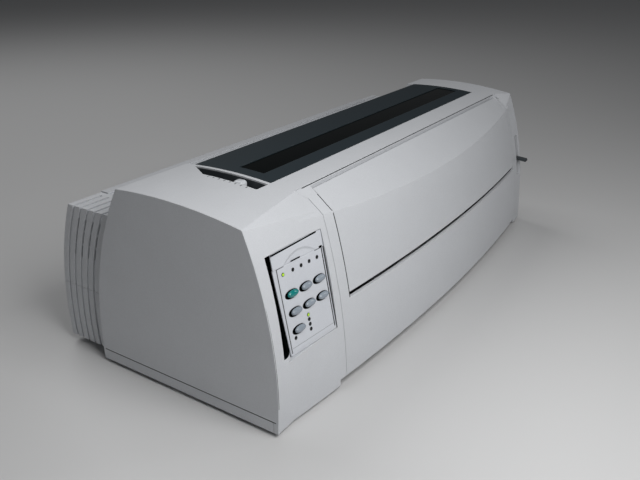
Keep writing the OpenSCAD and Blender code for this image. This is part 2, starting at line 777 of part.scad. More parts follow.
// ---- carriage ----

module carriage() placed() color("#383838") difference() {
    x = [park_x - carriage_w / 2, park_x + carriage_w / 2];
    union() {
        block(x, [guide_c[0] - 12, guide_c[0] + 14], [guide_c[1] - 9, head_floor]);
        // fork on the front rail
        block(x, [rail_y + rail_w + move_gap, guide_c[0] - 12], [rail_z - 5, rail_z + rail_t + 5]);
        for (z = [rail_z - 5, rail_z + rail_t + move_gap])
            block([park_x - 15, park_x + 15], [rail_y + 3, rail_y + rail_w + 1],
                [z, z + 5 - move_gap]);
        // jaws on the belt's front run
        for (y = [pulley_y - belt_r - belt_t / 2 - 3.3, pulley_y - belt_r + belt_t / 2 + 0.3])
            block([park_x - 8, park_x + 8], [y, y + 3], [belt_z - 1, guide_c[1] - 9]);
    }
    rod_x(x[0] - 1, x[1] + 1, guide_c, guide_r + run_gap);
}
module print_head() placed() color("#2b2b2b") {
    block([park_x - 20, park_x + 20], [nose_y - 40, nose_y - 12], [head_floor, platen[1] + 13]);
    // cooling fins
    for (i = [0:3])
        block([park_x - 22, park_x + 22], [nose_y - 39 + i * 7, nose_y - 36 + i * 7],
            [platen[1] + 13, platen[1] + 19]);
    block([park_x - 9, park_x + 9], [nose_y - 12, nose_y - 5], [platen[1] - 9, platen[1] + 9]);
    block([park_x - 4, park_x + 4], [nose_y - 5, nose_y], [platen[1] - 6, platen[1] + 6]);
}
module stadium(x, r) {
    for (c = x)
        translate([c, 0]) circle(r);
    translate([x[0], -r]) square([x[1] - x[0], 2 * r]);
}
module timing_belt() placed() color("#181818") translate([0, pulley_y, belt_z]) linear_extrude(belt_h)
    difference() {
        stadium(pulley_x, belt_r + belt_t / 2);
        stadium(pulley_x, belt_r - belt_t / 2);
    }
module belt_pulley(x) difference() {
    translate([x, pulley_y, belt_z - 1.5]) union() {
        cylinder(r = pulley_r, h = belt_h + 3);
        cylinder(r = belt_r + 2, h = 1.2);
        translate([0, 0, belt_h + 1.8]) cylinder(r = belt_r + 2, h = 1.2);
    }
    translate([x, pulley_y, 0]) cylinder(r = pulley_shaft_r + run_gap, h = case_h);
}
module motor_pulley() placed() color("gold") belt_pulley(pulley_x[0]);
module idler_pulley() placed() color("gold") belt_pulley(pulley_x[1]);
module carriage_motor() placed() color("dimgray") translate([pulley_x[0], pulley_y, plate_z]) {
    cylinder(r = motor_r, h = belt_z - plate_z - 3);
    cylinder(r = pulley_shaft_r, h = belt_z + belt_h - plate_z + 1.5);
}

// ---- ribbon ----

module ribbon_cartridge() placed() color("#222222") difference() {
    union() {
        block(ribbon_x, ribbon_y, ribbon_z);
        for (x = [ribbon_x[0], ribbon_x[1] - ribbon_arm_w])
            block([x, x + ribbon_arm_w], [ribbon_y[1] - 8, nose_y], [platen[1] - 8, platen[1] + 12]);
    }
    translate([park_x, (ribbon_y[0] + ribbon_y[1]) / 2, ribbon_z[1] - 8])
        cylinder(r = 3 + run_gap, h = 20);
}
module ribbon_band() placed() color("#101010") {
    z = [platen[1] - ribbon_band_h / 2, platen[1] + ribbon_band_h / 2];
    y = nose_y + 0.45;
    block([ribbon_x[0] - ribbon_band_t, ribbon_x[1] + ribbon_band_t], [y, y + ribbon_band_t], z);
    for (x = [ribbon_x[0] - ribbon_band_t, ribbon_x[1]])
        block([x, x + ribbon_band_t], [nose_y - 30, y], z);
}
module ribbon_knob() placed() color("royalblue")
    translate([park_x, (ribbon_y[0] + ribbon_y[1]) / 2, 0]) {
        translate([0, 0, ribbon_z[1] - 7]) cylinder(r = 3, h = 8);
        translate([0, 0, ribbon_z[1] + move_gap]) cylinder(r = 8, h = 6);
    }

// ---- tractors ----

module tractor(x) difference() {
    union() {
        block([x, x + tractor_w], [support_c[0] - 11, tractor_c[0] + 11],
            [tractor_c[1] - 12, tractor_c[1] + 12]);
        for (i = [0:3])
            translate([x + tractor_w / 2, support_c[0] - 4 + i * 12.7, tractor_c[1] + 12])
                cylinder(r = 1.6, h = 2.2);
    }
    rod_x(x - 1, x + tractor_w + 1, tractor_c, tractor_r + run_gap);
    rod_x(x - 1, x + tractor_w + 1, support_c, tractor_r + run_gap);
    // hollow side
    block([x + 4, x + tractor_w - 4], [support_c[0] + 7, tractor_c[0] - 7], [0, tractor_c[1] + 9]);
}
module left_tractor() placed() color("#3a3a3a") tractor(tractor_x[0]);
module right_tractor() placed() color("#3a3a3a") tractor(tractor_x[1]);

// ---- electronics ----

module main_board() placed() {
    color("darkgreen") block([250, 500], [110, rear_skin - 1], [board_z, board_z + 1.6]);
    color("silver") for (x = [262, 488], y = [118, 182])
        translate([x, y, plate_z]) cylinder(r = 3, h = board_z - plate_z);
    color("silver") for (x = [262, 488])
        translate([x, rear_skin - 10, 4 + wall]) cylinder(r = 3, h = board_z - 4 - wall);
    color("#202020") {
        block([300, 336], [140, 176], [board_z + 1.6, board_z + 5]);
        block([360, 376], [130, 166], [board_z + 1.6, board_z + 5]);
        block([386, 402], [130, 166], [board_z + 1.6, board_z + 5]);
    }
    color("silver") for (i = [0:5])
        block([430, 480], [130 + i * 5, 132 + i * 5], [board_z + 1.6, board_z + 20]);
}
module data_connectors() placed() color("silver") {
    z = [board_z + 1.6, board_z + 13];
    difference() {
        block([port_x[0] + 0.4, port_x[1] - 0.4], [rear_d - 24, rear_d - 0.4], z);
        difference() {
            block([port_x[0] + 3, port_x[1] - 3], [rear_d - 10, rear_d + 1], [z[0] + 1.6, z[1] - 1.6]);
            block([port_x[0] + 6, port_x[1] - 6], [rear_d - 12, rear_d - 2], [z[0] + 4, z[1] - 4]);
        }
    }
    difference() {
        block([usb_x[0] + 0.4, usb_x[1] - 0.4], [rear_d - 18, rear_d - 0.4], z);
        difference() {
            block([usb_x[0] + 2, usb_x[1] - 2], [rear_d - 10, rear_d + 1], [z[0] + 1.6, z[1] - 1.6]);
            block([usb_x[0] + 4, usb_x[1] - 4], [rear_d - 12, rear_d - 2], [z[0] + 3.5, z[1] - 3.5]);
        }
    }
}
module power_supply() placed() {
    color("tan") block([22, 78], [40, 166], [board_z, board_z + 1.6]);
    color("silver") for (x = [28, 72], y = [46, 160])
        translate([x, y, wall]) cylinder(r = 3, h = board_z - wall);
    color("#555555") block([26, 68], [122, 156], [board_z + 1.6, board_z + 38]);
    color("silver") for (i = [0:4])
        block([26 + i * 5, 28 + i * 5], [52, 102], [board_z + 1.6, board_z + 26]);
    color("#1c2c50") for (y = [58, 78])
        translate([66, y, board_z + 1.6]) cylinder(r = 8, h = 22);
}
rocker_c = [rear_d - 7, (socket_z[0] + socket_z[1]) / 2];
module power_inlet() placed() color("#1a1a1a") difference() {
    block([inlet_x[0] + 0.3, inlet_x[1] - 0.3], [rear_d - 26, rear_d - 0.6],
        [socket_z[0] + 0.3, socket_z[1] - 0.3]);
    difference() {
        block([31, 55], [rear_d - 16, rear_d + 1], [rocker_c[1] - 8.2, rocker_c[1] + 8.2]);
        for (p = [[36, -3], [43, 3], [50, -3]])
            block([p[0] - 1, p[0] + 1], [rear_d - 17, rear_d - 7],
                [rocker_c[1] + p[1] - 2, rocker_c[1] + p[1] + 2]);
    }
    block([66, 82], [rear_d - 16, rear_d + 1], [rocker_c[1] - 10, rocker_c[1] + 10]);
    rod_x(64, 84, rocker_c, 1.5 + run_gap);
}
module power_rocker() placed() color("#2a2a2a") {
    along_x(66.5, 81.5) translate(rocker_c) rotate(-7)
        polygon([[-4, -6], [5, -9], [3.4, 0], [5, 9], [-4, 6]]);
    rod_x(64.6, 66.5, rocker_c, 1.5);
    rod_x(81.5, 83.4, rocker_c, 1.5);
}

// ---- operator panel ----

module button2d(i) {
    r = button_d / 2;
    stadium([-(button_w / 2 - r), button_w / 2 - r], r + i);
}
module panel_plate() placed() color("whitesmoke") difference() {
    on_panel(panel_u[0], recess_v[0] + move_gap) translate([0, 0, -panel_t])
        cube([panel_u[1] - panel_u[0], recess_v[1] - recess_v[0] - 2 * move_gap, panel_t]);
    for (p = button_places)
        on_panel(p[0], p[1]) translate([0, 0, -panel_t - 1]) linear_extrude(panel_t + 2) button2d(0.6);
    for (p = lamp_places)
        on_panel(p[0], p[1]) translate([0, 0, -panel_t - 1])
            cylinder(r = lamp_d / 2 + run_gap, h = panel_t + 2);
    // finger scoop above the lamps
    on_panel(4.6, -15.9) translate([0, 0, 68.5]) sphere(r = 70);
}
module panel_board() placed() {
    color("darkgreen") on_panel(-19, -88) translate([0, 0, -9]) cube([52, 83, 1.6]);
    // switches under the buttons and posts up to the plate
    color("#202020") for (p = button_places)
        on_panel(p[0], p[1]) translate([0, 0, -7.4]) cylinder(r = 3, h = 1.2);
    color("whitesmoke") for (u = [-15, 30], v = [-9, -85])
        on_panel(u, v) translate([0, 0, -7.4]) cylinder(r = 1.8, h = 7.4 - panel_t);
}
module status_lamps() placed() color("yellowgreen")
    for (p = lamp_places)
        on_panel(p[0], p[1]) translate([0, 0, -4]) cylinder(r = lamp_d / 2, h = 4.5);
module button(i) {
    on_panel(button_places[i][0], button_places[i][1]) {
        translate([0, 0, -2]) linear_extrude(5) button2d(0);
        translate([0, 0, -4.4]) cylinder(r = 1.5, h = 3);
    }
}

// ---- levers ----

module thickness_lever() placed() color("lightgray") difference() {
    union() {
        along_x(69, 73) {
            translate(thick_pivot) circle(9);
            bar2d(thick_pivot, [thick_tip_y + 1, top_z(thick_tip_y) - 9], 4);
        }
        block([66.5, 76], [thick_tip_y - 5, thick_tip_y + 5],
            [top_z(thick_tip_y) - 9, top_z(thick_tip_y) + 0.3]);
    }
    rod_x(60, 80, thick_pivot, lever_stud_r + run_gap);
}
module path_lever() placed() color("#3c4246") difference() {
    along_x(path_x - 2, path_x + 2) {
        translate(path_pivot) circle(8);
        bar2d(path_pivot, path_tip, 2.4);
    }
    rod_x(path_x - 5, path_x + 5, path_pivot, lever_stud_r + run_gap);
}

lower_casing();
rubber_feet();
upper_casing();
rear_lower_casing();
front_apron();
casing_screws();
left_side_frame();
right_side_frame();
chassis_plate();
guide_shaft();
front_guide_rail();
paper_pan();
platen_bushings();
main_board();
power_supply();
power_inlet();
data_connectors();
carriage_motor();
feed_motor();
timing_belt();
ribbon_cartridge();
ribbon_band();
panel_plate();
panel_board();
status_lamps();
tractor_support_shaft();
top_cover();
view_window();
front_door();
rear_cover();
paper_guide();
platen_roller();
platen_shaft();
platen_gear();
platen_knob();
motor_pinion();
reduction_gear();
front_idler_gear();
tractor_drive_shaft();
pinch_rollers();
carriage();
print_head();
motor_pulley();
idler_pulley();
ribbon_knob();
bail_frame();
bail_rollers();
thickness_lever();
path_lever();
power_rocker();
left_tractor();
right_tractor();
// the first button is green-blue, the others are grey
placed() color("teal") button(0);  // button_1
placed() color("slategray") button(1);  // button_2
placed() color("slategray") button(2);  // button_3
placed() color("slategray") button(3);  // button_4
placed() color("slategray") button(4);  // button_5
placed() color("slategray") button(5);  // button_6
placed() color("slategray") button(6);  // button_7
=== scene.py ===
"""Looks of a wide-carriage dot matrix printer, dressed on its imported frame.

The sizes of the pieces are in millimetres in the casing's own frame: X along the platen
from the left side face, Y from front to rear, Z up from the underside. Case and PanelPlane
turn them into the frame's metres. Materials, camera lens and lamps keep Blender's units.
"""

import logging
import math
from dataclasses import dataclass, field
from enum import Enum
from typing import Iterable, Optional, Sequence

import bmesh
import bpy
from mathutils import Matrix, Vector
from mathutils.bvhtree import BVHTree
from mathutils.geometry import tessellate_polygon

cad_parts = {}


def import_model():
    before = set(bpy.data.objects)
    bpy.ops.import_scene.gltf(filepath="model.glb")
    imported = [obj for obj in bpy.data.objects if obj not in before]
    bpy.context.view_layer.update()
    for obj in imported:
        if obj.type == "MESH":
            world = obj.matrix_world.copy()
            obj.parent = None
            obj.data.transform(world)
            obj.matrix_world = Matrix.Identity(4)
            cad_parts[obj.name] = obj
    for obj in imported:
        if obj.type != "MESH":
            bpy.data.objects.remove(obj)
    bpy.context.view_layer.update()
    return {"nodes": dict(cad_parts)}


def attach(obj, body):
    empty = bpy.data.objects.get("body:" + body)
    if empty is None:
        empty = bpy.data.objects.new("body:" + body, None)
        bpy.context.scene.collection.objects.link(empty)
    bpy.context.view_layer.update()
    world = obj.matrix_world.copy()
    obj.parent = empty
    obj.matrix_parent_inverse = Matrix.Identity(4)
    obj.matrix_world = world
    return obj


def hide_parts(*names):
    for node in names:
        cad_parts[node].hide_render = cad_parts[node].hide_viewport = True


LOG = logging.getLogger("printer")
Point = tuple[float, float, float]
Pair = tuple[float, float]
Outline = list[Pair]
Ring = list[Vector]
Face = tuple[int, ...]
Shell = tuple[list[Vector], list[Face]]
Hit = Optional[tuple[Vector, Vector]]

METRES_PER_MM = 0.001


# ---- frame of the casing ----


@dataclass(frozen=True)
class Case:
    """The casing's frame in millimetres, laid into the row frame in metres."""

    mid_x: float = 298.25
    mid_y: float = 120.4
    foot_h: float = 4.0
    height: float = 180.7
    top_r: float = 490.0
    apex_y: float = 115.0

    def at(self, x: float, y: float, z: float) -> Vector:
        """Returns the row-frame place of a casing point.

        Args:
            x: distance from the left side face.
            y: depth from the casing's front.
            z: height over the underside.
        """
        return Vector((x - self.mid_x, y - self.mid_y, z + self.foot_h)) * METRES_PER_MM

    def top_z(self, y: float) -> float:
        """Returns the height of the domed top at depth y."""
        return self.height - self.top_r + math.sqrt(self.top_r**2 - (y - self.apex_y) ** 2)


CASE = Case()


@dataclass(frozen=True)
class PanelPlane:
    """The operator panel's plane: u to the right, v up it, w out of it."""

    origin: Point = (50.0, 19.5, 147.0)
    tilt: float = math.radians(12.6)
    yaw: float = math.radians(-5.45)

    def at(self, u: float, v: float, w: float) -> Vector:
        """Returns the row-frame place of a panel point.

        Args:
            u: distance to the right of the panel's origin.
            v: distance up the panel.
            w: height over the panel's face.
        """
        c, s = math.cos(self.yaw), math.sin(self.yaw)
        ct, st = math.cos(self.tilt), math.sin(self.tilt)
        along = Vector((c, s, 0.0))
        up = Vector((-s * st, c * st, ct))
        out = Vector((s * ct, -c * ct, st))
        spot = Vector(self.origin) + along * u + up * v + out * w
        return CASE.at(*spot)


PANEL = PanelPlane()


# ---- finishes ----


class Grain(Enum):
    """The fine structure that a surface shows close up."""

    MOULDED = "moulded"
    SATIN = "satin"
    GLOSS = "gloss"
    RUBBER = "rubber"
    BRUSHED = "brushed"
    LAMINATE = "laminate"


# noise scales, per metre
MOTTLE_SCALE = 38.0
SPECK_SCALE = 1900.0
WEAR_SCALE = 120.0
HANDLING_SCALE = 60.0

SPECK_SHADE = 0.93
ROUGHNESS_SPREAD = 0.02
COAT_ROUGHNESS = 0.08
BUMP_STRENGTH = 0.55

# each grain's noise scale, per metre, and its depth, in metres
GRAIN_RELIEF: dict[Grain, Pair] = {
    Grain.MOULDED: (1300.0, 0.00005),
    Grain.SATIN: (900.0, 0.000012),
    Grain.GLOSS: (160.0, 0.000006),
    Grain.RUBBER: (700.0, 0.00005),
    Grain.BRUSHED: (500.0, 0.00001),
    Grain.LAMINATE: (420.0, 0.00003),
}


@dataclass(frozen=True)
class Finish:
    """A surface finish, made into one procedural material.

    Attributes:
        name: the material's name.
        slot: the record's material slot that it stands for; not used.
        color: base colour, linear.
        rough: mean roughness.
        grain: fine structure.
        metal: metallic share.
        mottle: share by which the colour wanders.
        wear: how much lighter the worn edges are.
        coat: clear coat weight.
        edge: radius of the softened edges, in metres.
        glow: emission strength, for lit lamps.
        shine: specular level.
    """

    name: str
    slot: str
    color: tuple[float, float, float]
    rough: float
    grain: Grain = Grain.MOULDED
    metal: float = 0.0
    mottle: float = 0.008
    wear: float = 0.12
    coat: float = 0.0
    edge: float = 0.0006
    glow: float = 0.0
    shine: float = 0.5

    def material(self) -> bpy.types.Material:
        """Returns this finish's material, made on its first use."""
        found = bpy.data.materials.get(self.name)
        if found is not None:
            return found
        mat = bpy.data.materials.new(self.name)
        mat.use_nodes = True
        tree = mat.node_tree
        shader = tree.nodes["Principled BSDF"]
        shader.inputs["Metallic"].default_value = self.metal
        shader.inputs["Coat Weight"].default_value = self.coat
        shader.inputs["Specular IOR Level"].default_value = self.shine
        shader.inputs["Coat Roughness"].default_value = COAT_ROUGHNESS
        coords = tree.nodes.new("ShaderNodeTexCoord").outputs["Object"]
        self._colour(tree, shader, coords)
        self._roughness(tree, shader, coords)
        self._relief(tree, shader, coords)
        if self.glow:
            shader.inputs["Emission Color"].default_value = (*self.color, 1.0)
            shader.inputs["Emission Strength"].default_value = self.glow
        mat.diffuse_color = (*self.color, 1.0)
        return mat

    def _noise(self, tree: bpy.types.NodeTree, coords: bpy.types.NodeSocket, scale: float,
               detail: float) -> bpy.types.NodeSocket:
        """Returns the output of a noise of the given scale, per metre."""
        noise = tree.nodes.new("ShaderNodeTexNoise")
        noise.inputs["Scale"].default_value = scale
        noise.inputs["Detail"].default_value = detail
        tree.links.new(coords, noise.inputs["Vector"])
        return noise.outputs["Fac"]

    def _span(self, tree: bpy.types.NodeTree, value: bpy.types.NodeSocket, low: float,
              high: float, start: float = 0.3, end: float = 0.7) -> bpy.types.NodeSocket:
        """Returns value mapped from start..end to low..high."""
        span = tree.nodes.new("ShaderNodeMapRange")
        span.inputs["From Min"].default_value = start
        span.inputs["From Max"].default_value = end
        span.inputs["To Min"].default_value = low
        span.inputs["To Max"].default_value = high
        tree.links.new(value, span.inputs["Value"])
        return span.outputs["Result"]

    def _rounded(self, tree: bpy.types.NodeTree, share: float) -> bpy.types.NodeSocket:
        """Returns the normal of edges rounded by share of the finish's edge radius."""
        soft = tree.nodes.new("ShaderNodeBevel")
        soft.samples = 4
        soft.inputs["Radius"].default_value = self.edge * share
        return soft.outputs["Normal"]

    def _colour(self, tree: bpy.types.NodeTree, shader: bpy.types.Node,
                coords: bpy.types.NodeSocket) -> None:
        """Wires mottled colour, moulded specks and lighter worn edges."""
        ramp = tree.nodes.new("ShaderNodeValToRGB")
        dark = tuple(c * (1 - self.mottle) for c in self.color)
        light = tuple(min(1.0, c * (1 + self.mottle)) for c in self.color)
        ramp.color_ramp.elements[0].position = 0.35
        ramp.color_ramp.elements[0].color = (*dark, 1.0)
        ramp.color_ramp.elements[1].position = 0.65
        ramp.color_ramp.elements[1].color = (*light, 1.0)
        tree.links.new(self._noise(tree, coords, MOTTLE_SCALE, 4.0), ramp.inputs["Fac"])
        speck = tree.nodes.new("ShaderNodeMix")
        speck.data_type = "RGBA"
        speck.blend_type = "MULTIPLY"
        speck.inputs["B"].default_value = (SPECK_SHADE, SPECK_SHADE, SPECK_SHADE, 1.0)
        fine = self._span(tree, self._noise(tree, coords, SPECK_SCALE, 2.0), 0.0, 1.0, 0.4, 0.6)
        tree.links.new(fine, speck.inputs["Factor"])
        tree.links.new(ramp.outputs["Color"], speck.inputs["A"])
        edges = tree.nodes.new("ShaderNodeMix")
        edges.data_type = "RGBA"
        worn = tuple(c + (1 - c) * self.wear for c in self.color)
        edges.inputs["B"].default_value = (*worn, 1.0)
        facing = tree.nodes.new("ShaderNodeVectorMath")
        facing.operation = "DOT_PRODUCT"
        flat = tree.nodes.new("ShaderNodeNewGeometry").outputs["Normal"]
        tree.links.new(flat, facing.inputs[0])
        tree.links.new(self._rounded(tree, 1.2), facing.inputs[1])
        rim = self._span(tree, facing.outputs["Value"], 1.0, 0.0, 0.75, 0.97)
        patch = self._span(tree, self._noise(tree, coords, WEAR_SCALE, 3.0), 0.0, 1.0, 0.35,
                           0.65)
        both = tree.nodes.new("ShaderNodeMath")
        both.operation = "MULTIPLY"
        tree.links.new(rim, both.inputs[0])
        tree.links.new(patch, both.inputs[1])
        tree.links.new(both.outputs["Value"], edges.inputs["Factor"])
        tree.links.new(speck.outputs["Result"], edges.inputs["A"])
        tree.links.new(edges.outputs["Result"], shader.inputs["Base Color"])

    def _roughness(self, tree: bpy.types.NodeTree, shader: bpy.types.Node,
                   coords: bpy.types.NodeSocket) -> None:
        """Wires roughness that wanders with handling."""
        low = max(ROUGHNESS_SPREAD, self.rough - ROUGHNESS_SPREAD)
        high = min(1.0, self.rough + ROUGHNESS_SPREAD)
        wander = self._span(tree, self._noise(tree, coords, HANDLING_SCALE, 3.0), low, high)
        tree.links.new(wander, shader.inputs["Roughness"])

    def _relief(self, tree: bpy.types.NodeTree, shader: bpy.types.Node,
                coords: bpy.types.NodeSocket) -> None:
        """Wires the grain's bump over softly rounded edges."""
        scale, depth = GRAIN_RELIEF[self.grain]
        if self.grain is Grain.BRUSHED:
            stretch = tree.nodes.new("ShaderNodeMapping")
            stretch.inputs["Scale"].default_value = (0.06, 1.0, 1.0)
            tree.links.new(coords, stretch.inputs["Vector"])
            coords = stretch.outputs["Vector"]
        bump = tree.nodes.new("ShaderNodeBump")
        bump.inputs["Strength"].default_value = BUMP_STRENGTH
        bump.inputs["Distance"].default_value = depth
        tree.links.new(self._noise(tree, coords, scale, 3.0), bump.inputs["Height"])
        tree.links.new(self._rounded(tree, 1.0), bump.inputs["Normal"])
        tree.links.new(bump.outputs["Normal"], shader.inputs["Normal"])


CASING = Finish("casing_moulding", "casing_plastic", (0.60, 0.615, 0.64), 0.42, wear=0.2)
TRAY = Finish("tray_moulding", "casing_plastic", (0.60, 0.615, 0.64), 0.42)
COVER = Finish("cover_moulding", "cover_plastic", (0.016, 0.025, 0.031), 0.5, wear=0.06,
               shine=0.3)
GLAZING = Finish("smoked_window", "window_plastic", (0.001, 0.002, 0.002), 0.2, Grain.GLOSS,
                 wear=0.02, shine=0.06)
FOOT = Finish("foot_rubber", "foot_rubber", (0.02, 0.02, 0.02), 0.85, Grain.RUBBER)
ROLLER = Finish("roller_rubber", "roller_rubber", (0.018, 0.018, 0.02), 0.6, Grain.RUBBER)
BELT = Finish("belt_rubber", "belt_rubber", (0.015, 0.015, 0.016), 0.7, Grain.RUBBER)
PLATED = Finish("plated_sheet", "plated_steel", (0.56, 0.57, 0.58), 0.36, Grain.BRUSHED, 0.9,
                mottle=0.08)
SHAFT = Finish("ground_shaft", "shaft_steel", (0.66, 0.66, 0.68), 0.2, Grain.BRUSHED, 1.0)
SCREW = Finish("screw_steel", "screw_steel", (0.5, 0.5, 0.52), 0.32, Grain.BRUSHED, 1.0)
MOTOR = Finish("motor_paint", "motor_metal", (0.05, 0.05, 0.056), 0.45, Grain.SATIN, 0.3)
WHITE = Finish("bushing_moulding", "white_plastic", (0.72, 0.72, 0.69), 0.45)
GEAR = Finish("gear_moulding", "gear_plastic", (0.66, 0.63, 0.52), 0.4)
BRASS = Finish("turned_brass", "brass_metal", (0.66, 0.47, 0.18), 0.25, Grain.BRUSHED, 1.0)
BOARD = Finish("board_mask", "board_green", (0.012, 0.1, 0.04), 0.35, Grain.LAMINATE, coat=0.3)
BARE_BOARD = Finish("board_laminate", "board_tan", (0.38, 0.26, 0.12), 0.55, Grain.LAMINATE)
BLACK = Finish("black_moulding", "black_plastic", (0.02, 0.02, 0.022), 0.45)
# painted shade: near-black, matt and without shine, laid in grooves, gaps, wells and slits where
# only shade falls
SHADE = Finish("painted_shade_black", "black_plastic", (0.002, 0.003, 0.003), 0.9, wear=0.0, shine=0.0)
# painted shade in mid-grey: the shadow lines under the pad's top edge and along its faint foot
# groove
SHADOW_GREY = Finish("panel_painted_shadow_grey", "panel_plastic", (0.2, 0.21, 0.23), 0.5, wear=0.0, shine=0.2)
SHELL = Finish("tinned_shell", "connector_metal", (0.55, 0.55, 0.55), 0.3, Grain.BRUSHED, 1.0)
GUIDE = Finish("guide_moulding", "guide_plastic", (0.55, 0.565, 0.59), 0.4)
PLATE = Finish("panel_moulding", "panel_plastic", (0.60, 0.62, 0.66), 0.36, Grain.SATIN,
               edge=0.0004)
LAMP_DARK = Finish("lamp_smoked", "lamp_plastic", (0.008, 0.009, 0.01), 0.25, Grain.GLOSS)
LAMP_LIT = Finish("lamp_yellow_green", "lamp_plastic", (0.36, 0.62, 0.03), 0.3, Grain.GLOSS,
                  glow=0.35)
TEAL = Finish("button_green_blue", "teal_plastic", (0.0, 0.2, 0.19), 0.24, Grain.SATIN,
              coat=0.5, edge=0.0004)
BUTTON = Finish("button_grey", "button_plastic", (0.26, 0.30, 0.345), 0.24, Grain.SATIN,
                coat=0.5, edge=0.0004)
LEVER = Finish("lever_moulding", "lever_plastic", (0.045, 0.052, 0.058), 0.35)
LIGHT_LEVER = Finish("light_lever_moulding", "light_lever_plastic", (0.58, 0.6, 0.63), 0.35)
KNOB = Finish("knob_moulding", "knob_plastic", (0.03, 0.031, 0.034), 0.45)
BLUE = Finish("winder_moulding", "blue_plastic", (0.02, 0.09, 0.32), 0.3, Grain.SATIN)

# the finish of each part that keeps its own mesh
CARRIED: dict[Finish, tuple[str, ...]] = {
    FOOT: ("rubber_feet",),
    ROLLER: ("platen_roller", "pinch_rollers", "bail_rollers"),
    BELT: ("timing_belt",),
    PLATED: ("left_side_frame", "right_side_frame", "chassis_plate", "front_guide_rail",
             "bail_frame"),
    SHAFT: ("guide_shaft", "tractor_support_shaft", "platen_shaft", "tractor_drive_shaft"),
    SCREW: ("casing_screws",),
    MOTOR: ("carriage_motor", "feed_motor"),
    WHITE: ("platen_bushings",),
    GEAR: ("platen_gear", "reduction_gear", "front_idler_gear"),
    BRASS: ("motor_pulley", "idler_pulley", "motor_pinion"),
    BOARD: ("main_board", "panel_board"),
    BARE_BOARD: ("power_supply",),
    BLACK: ("power_inlet", "ribbon_cartridge", "ribbon_band", "carriage", "print_head",
            "power_rocker", "left_tractor", "right_tractor", "paper_pan"),
    SHELL: ("data_connectors",),
    BLUE: ("ribbon_knob",),
    GLAZING: ("view_window",),
}


# ---- mesh helpers ----


def loft(rings: Sequence[Ring], caps: bool = True) -> Shell:
    """Joins rings of equal length into one skin.

    Args:
        rings: closed rings of points, in order.
        caps: whether the two ends are closed.

    Returns:
        The points and the faces.
    """
    count = len(rings[0])
    points = [p for ring in rings for p in ring]
    faces: list[Face] = []
    for k in range(len(rings) - 1):
        low, high = k * count, (k + 1) * count
        for i in range(count):
            j = (i + 1) % count
            faces.append((low + i, low + j, high + j, high + i))
    if caps:
        faces.append(tuple(range(count))[::-1])
        faces.append(tuple(range((len(rings) - 1) * count, len(rings) * count)))
    return points, faces


def merge(shells: Iterable[Shell]) -> Shell:
    """Joins closed shells into one list of points and one of faces, in their order."""
    points: list[Vector] = []
    faces: list[Face] = []
    for shell_points, shell_faces in shells:
        base = len(points)
        points += shell_points
        faces += [tuple(base + k for k in face) for face in shell_faces]
    return points, faces


def oval(length: float, width: float, inset: float = 0.0, steps: int = 40,
         fullness: float = 2.15) -> Outline:
    """Returns the outline of an oval, drawn in by inset.

    Args:
        length: its full length.
        width: its full width.
        inset: how far it is drawn in.
        steps: number of points.
        fullness: 2 is an ellipse, and more fills its corners.
    """
    out = []
    for k in range(steps):
        a = 2 * math.pi * k / steps
        c, d = math.cos(a), math.sin(a)
        power = 2 / fullness
        out.append(((length / 2 - inset) * math.copysign(abs(c) ** power, c),
                    (width / 2 - inset) * math.copysign(abs(d) ** power, d)))
    return out


def rounded_box(size: Pair, radius: float, steps: int = 6) -> Outline:
    """Returns the outline of a rectangle with round corners, centred at 0."""
    a, b = size[0] / 2 - radius, size[1] / 2 - radius
    out = []
    for cx, cy, start in ((a, b, 0), (-a, b, 90), (-a, -b, 180), (a, -b, 270)):
        for k in range(steps + 1):
            t = math.radians(start + 90 * k / steps)
            out.append((cx + radius * math.cos(t), cy + radius * math.sin(t)))
    return out


def finish_mesh(mesh: bpy.types.Mesh, sharp: float) -> None:
    """Turns faces outward and smooths all edges below the angle sharp, in degrees."""
    work = bmesh.new()
    work.from_mesh(mesh)
    bmesh.ops.remove_doubles(work, verts=work.verts, dist=1e-6)
    bmesh.ops.recalc_face_normals(work, faces=work.faces)
    work.to_mesh(mesh)
    work.free()
    for face in mesh.polygons:
        face.use_smooth = True
    mesh.set_sharp_from_angle(angle=math.radians(sharp))


def add_piece(name: str, shell: Shell, body: str, finish: Finish,
              stands_for: Optional[str] = None, sharp: float = 35.0) -> bpy.types.Object:
    """Makes one piece from its shell, and hangs it on its body.

    Args:
        name: the piece's name.
        shell: its row-frame points, in metres, and its faces as tuples of point numbers.
        body: the body that it moves with.
        finish: its finish.
        stands_for: the frame's node that it takes the place of.
        sharp: edges above this angle stay crisp, in degrees.

    Returns:
        The new object.
    """
    mesh = bpy.data.meshes.new(name)
    points, faces = shell
    mesh.from_pydata([tuple(p) for p in points], [], faces)
    finish_mesh(mesh, sharp)
    return hang(name, mesh, body, finish, stands_for)


def hang(name: str, mesh: bpy.types.Mesh, body: str, finish: Finish,
         stands_for: Optional[str]) -> bpy.types.Object:
    """Links a finished mesh as a piece of the given body and returns its object."""
    obj = bpy.data.objects.new(name, mesh)
    bpy.context.scene.collection.objects.link(obj)
    mesh.materials.append(finish.material())
    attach(obj, body)
    if stands_for:
        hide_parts(stands_for)
    LOG.info("piece %s on %s, %d faces", name, body, len(mesh.polygons))
    return obj


# ---- sub-assemblies ----


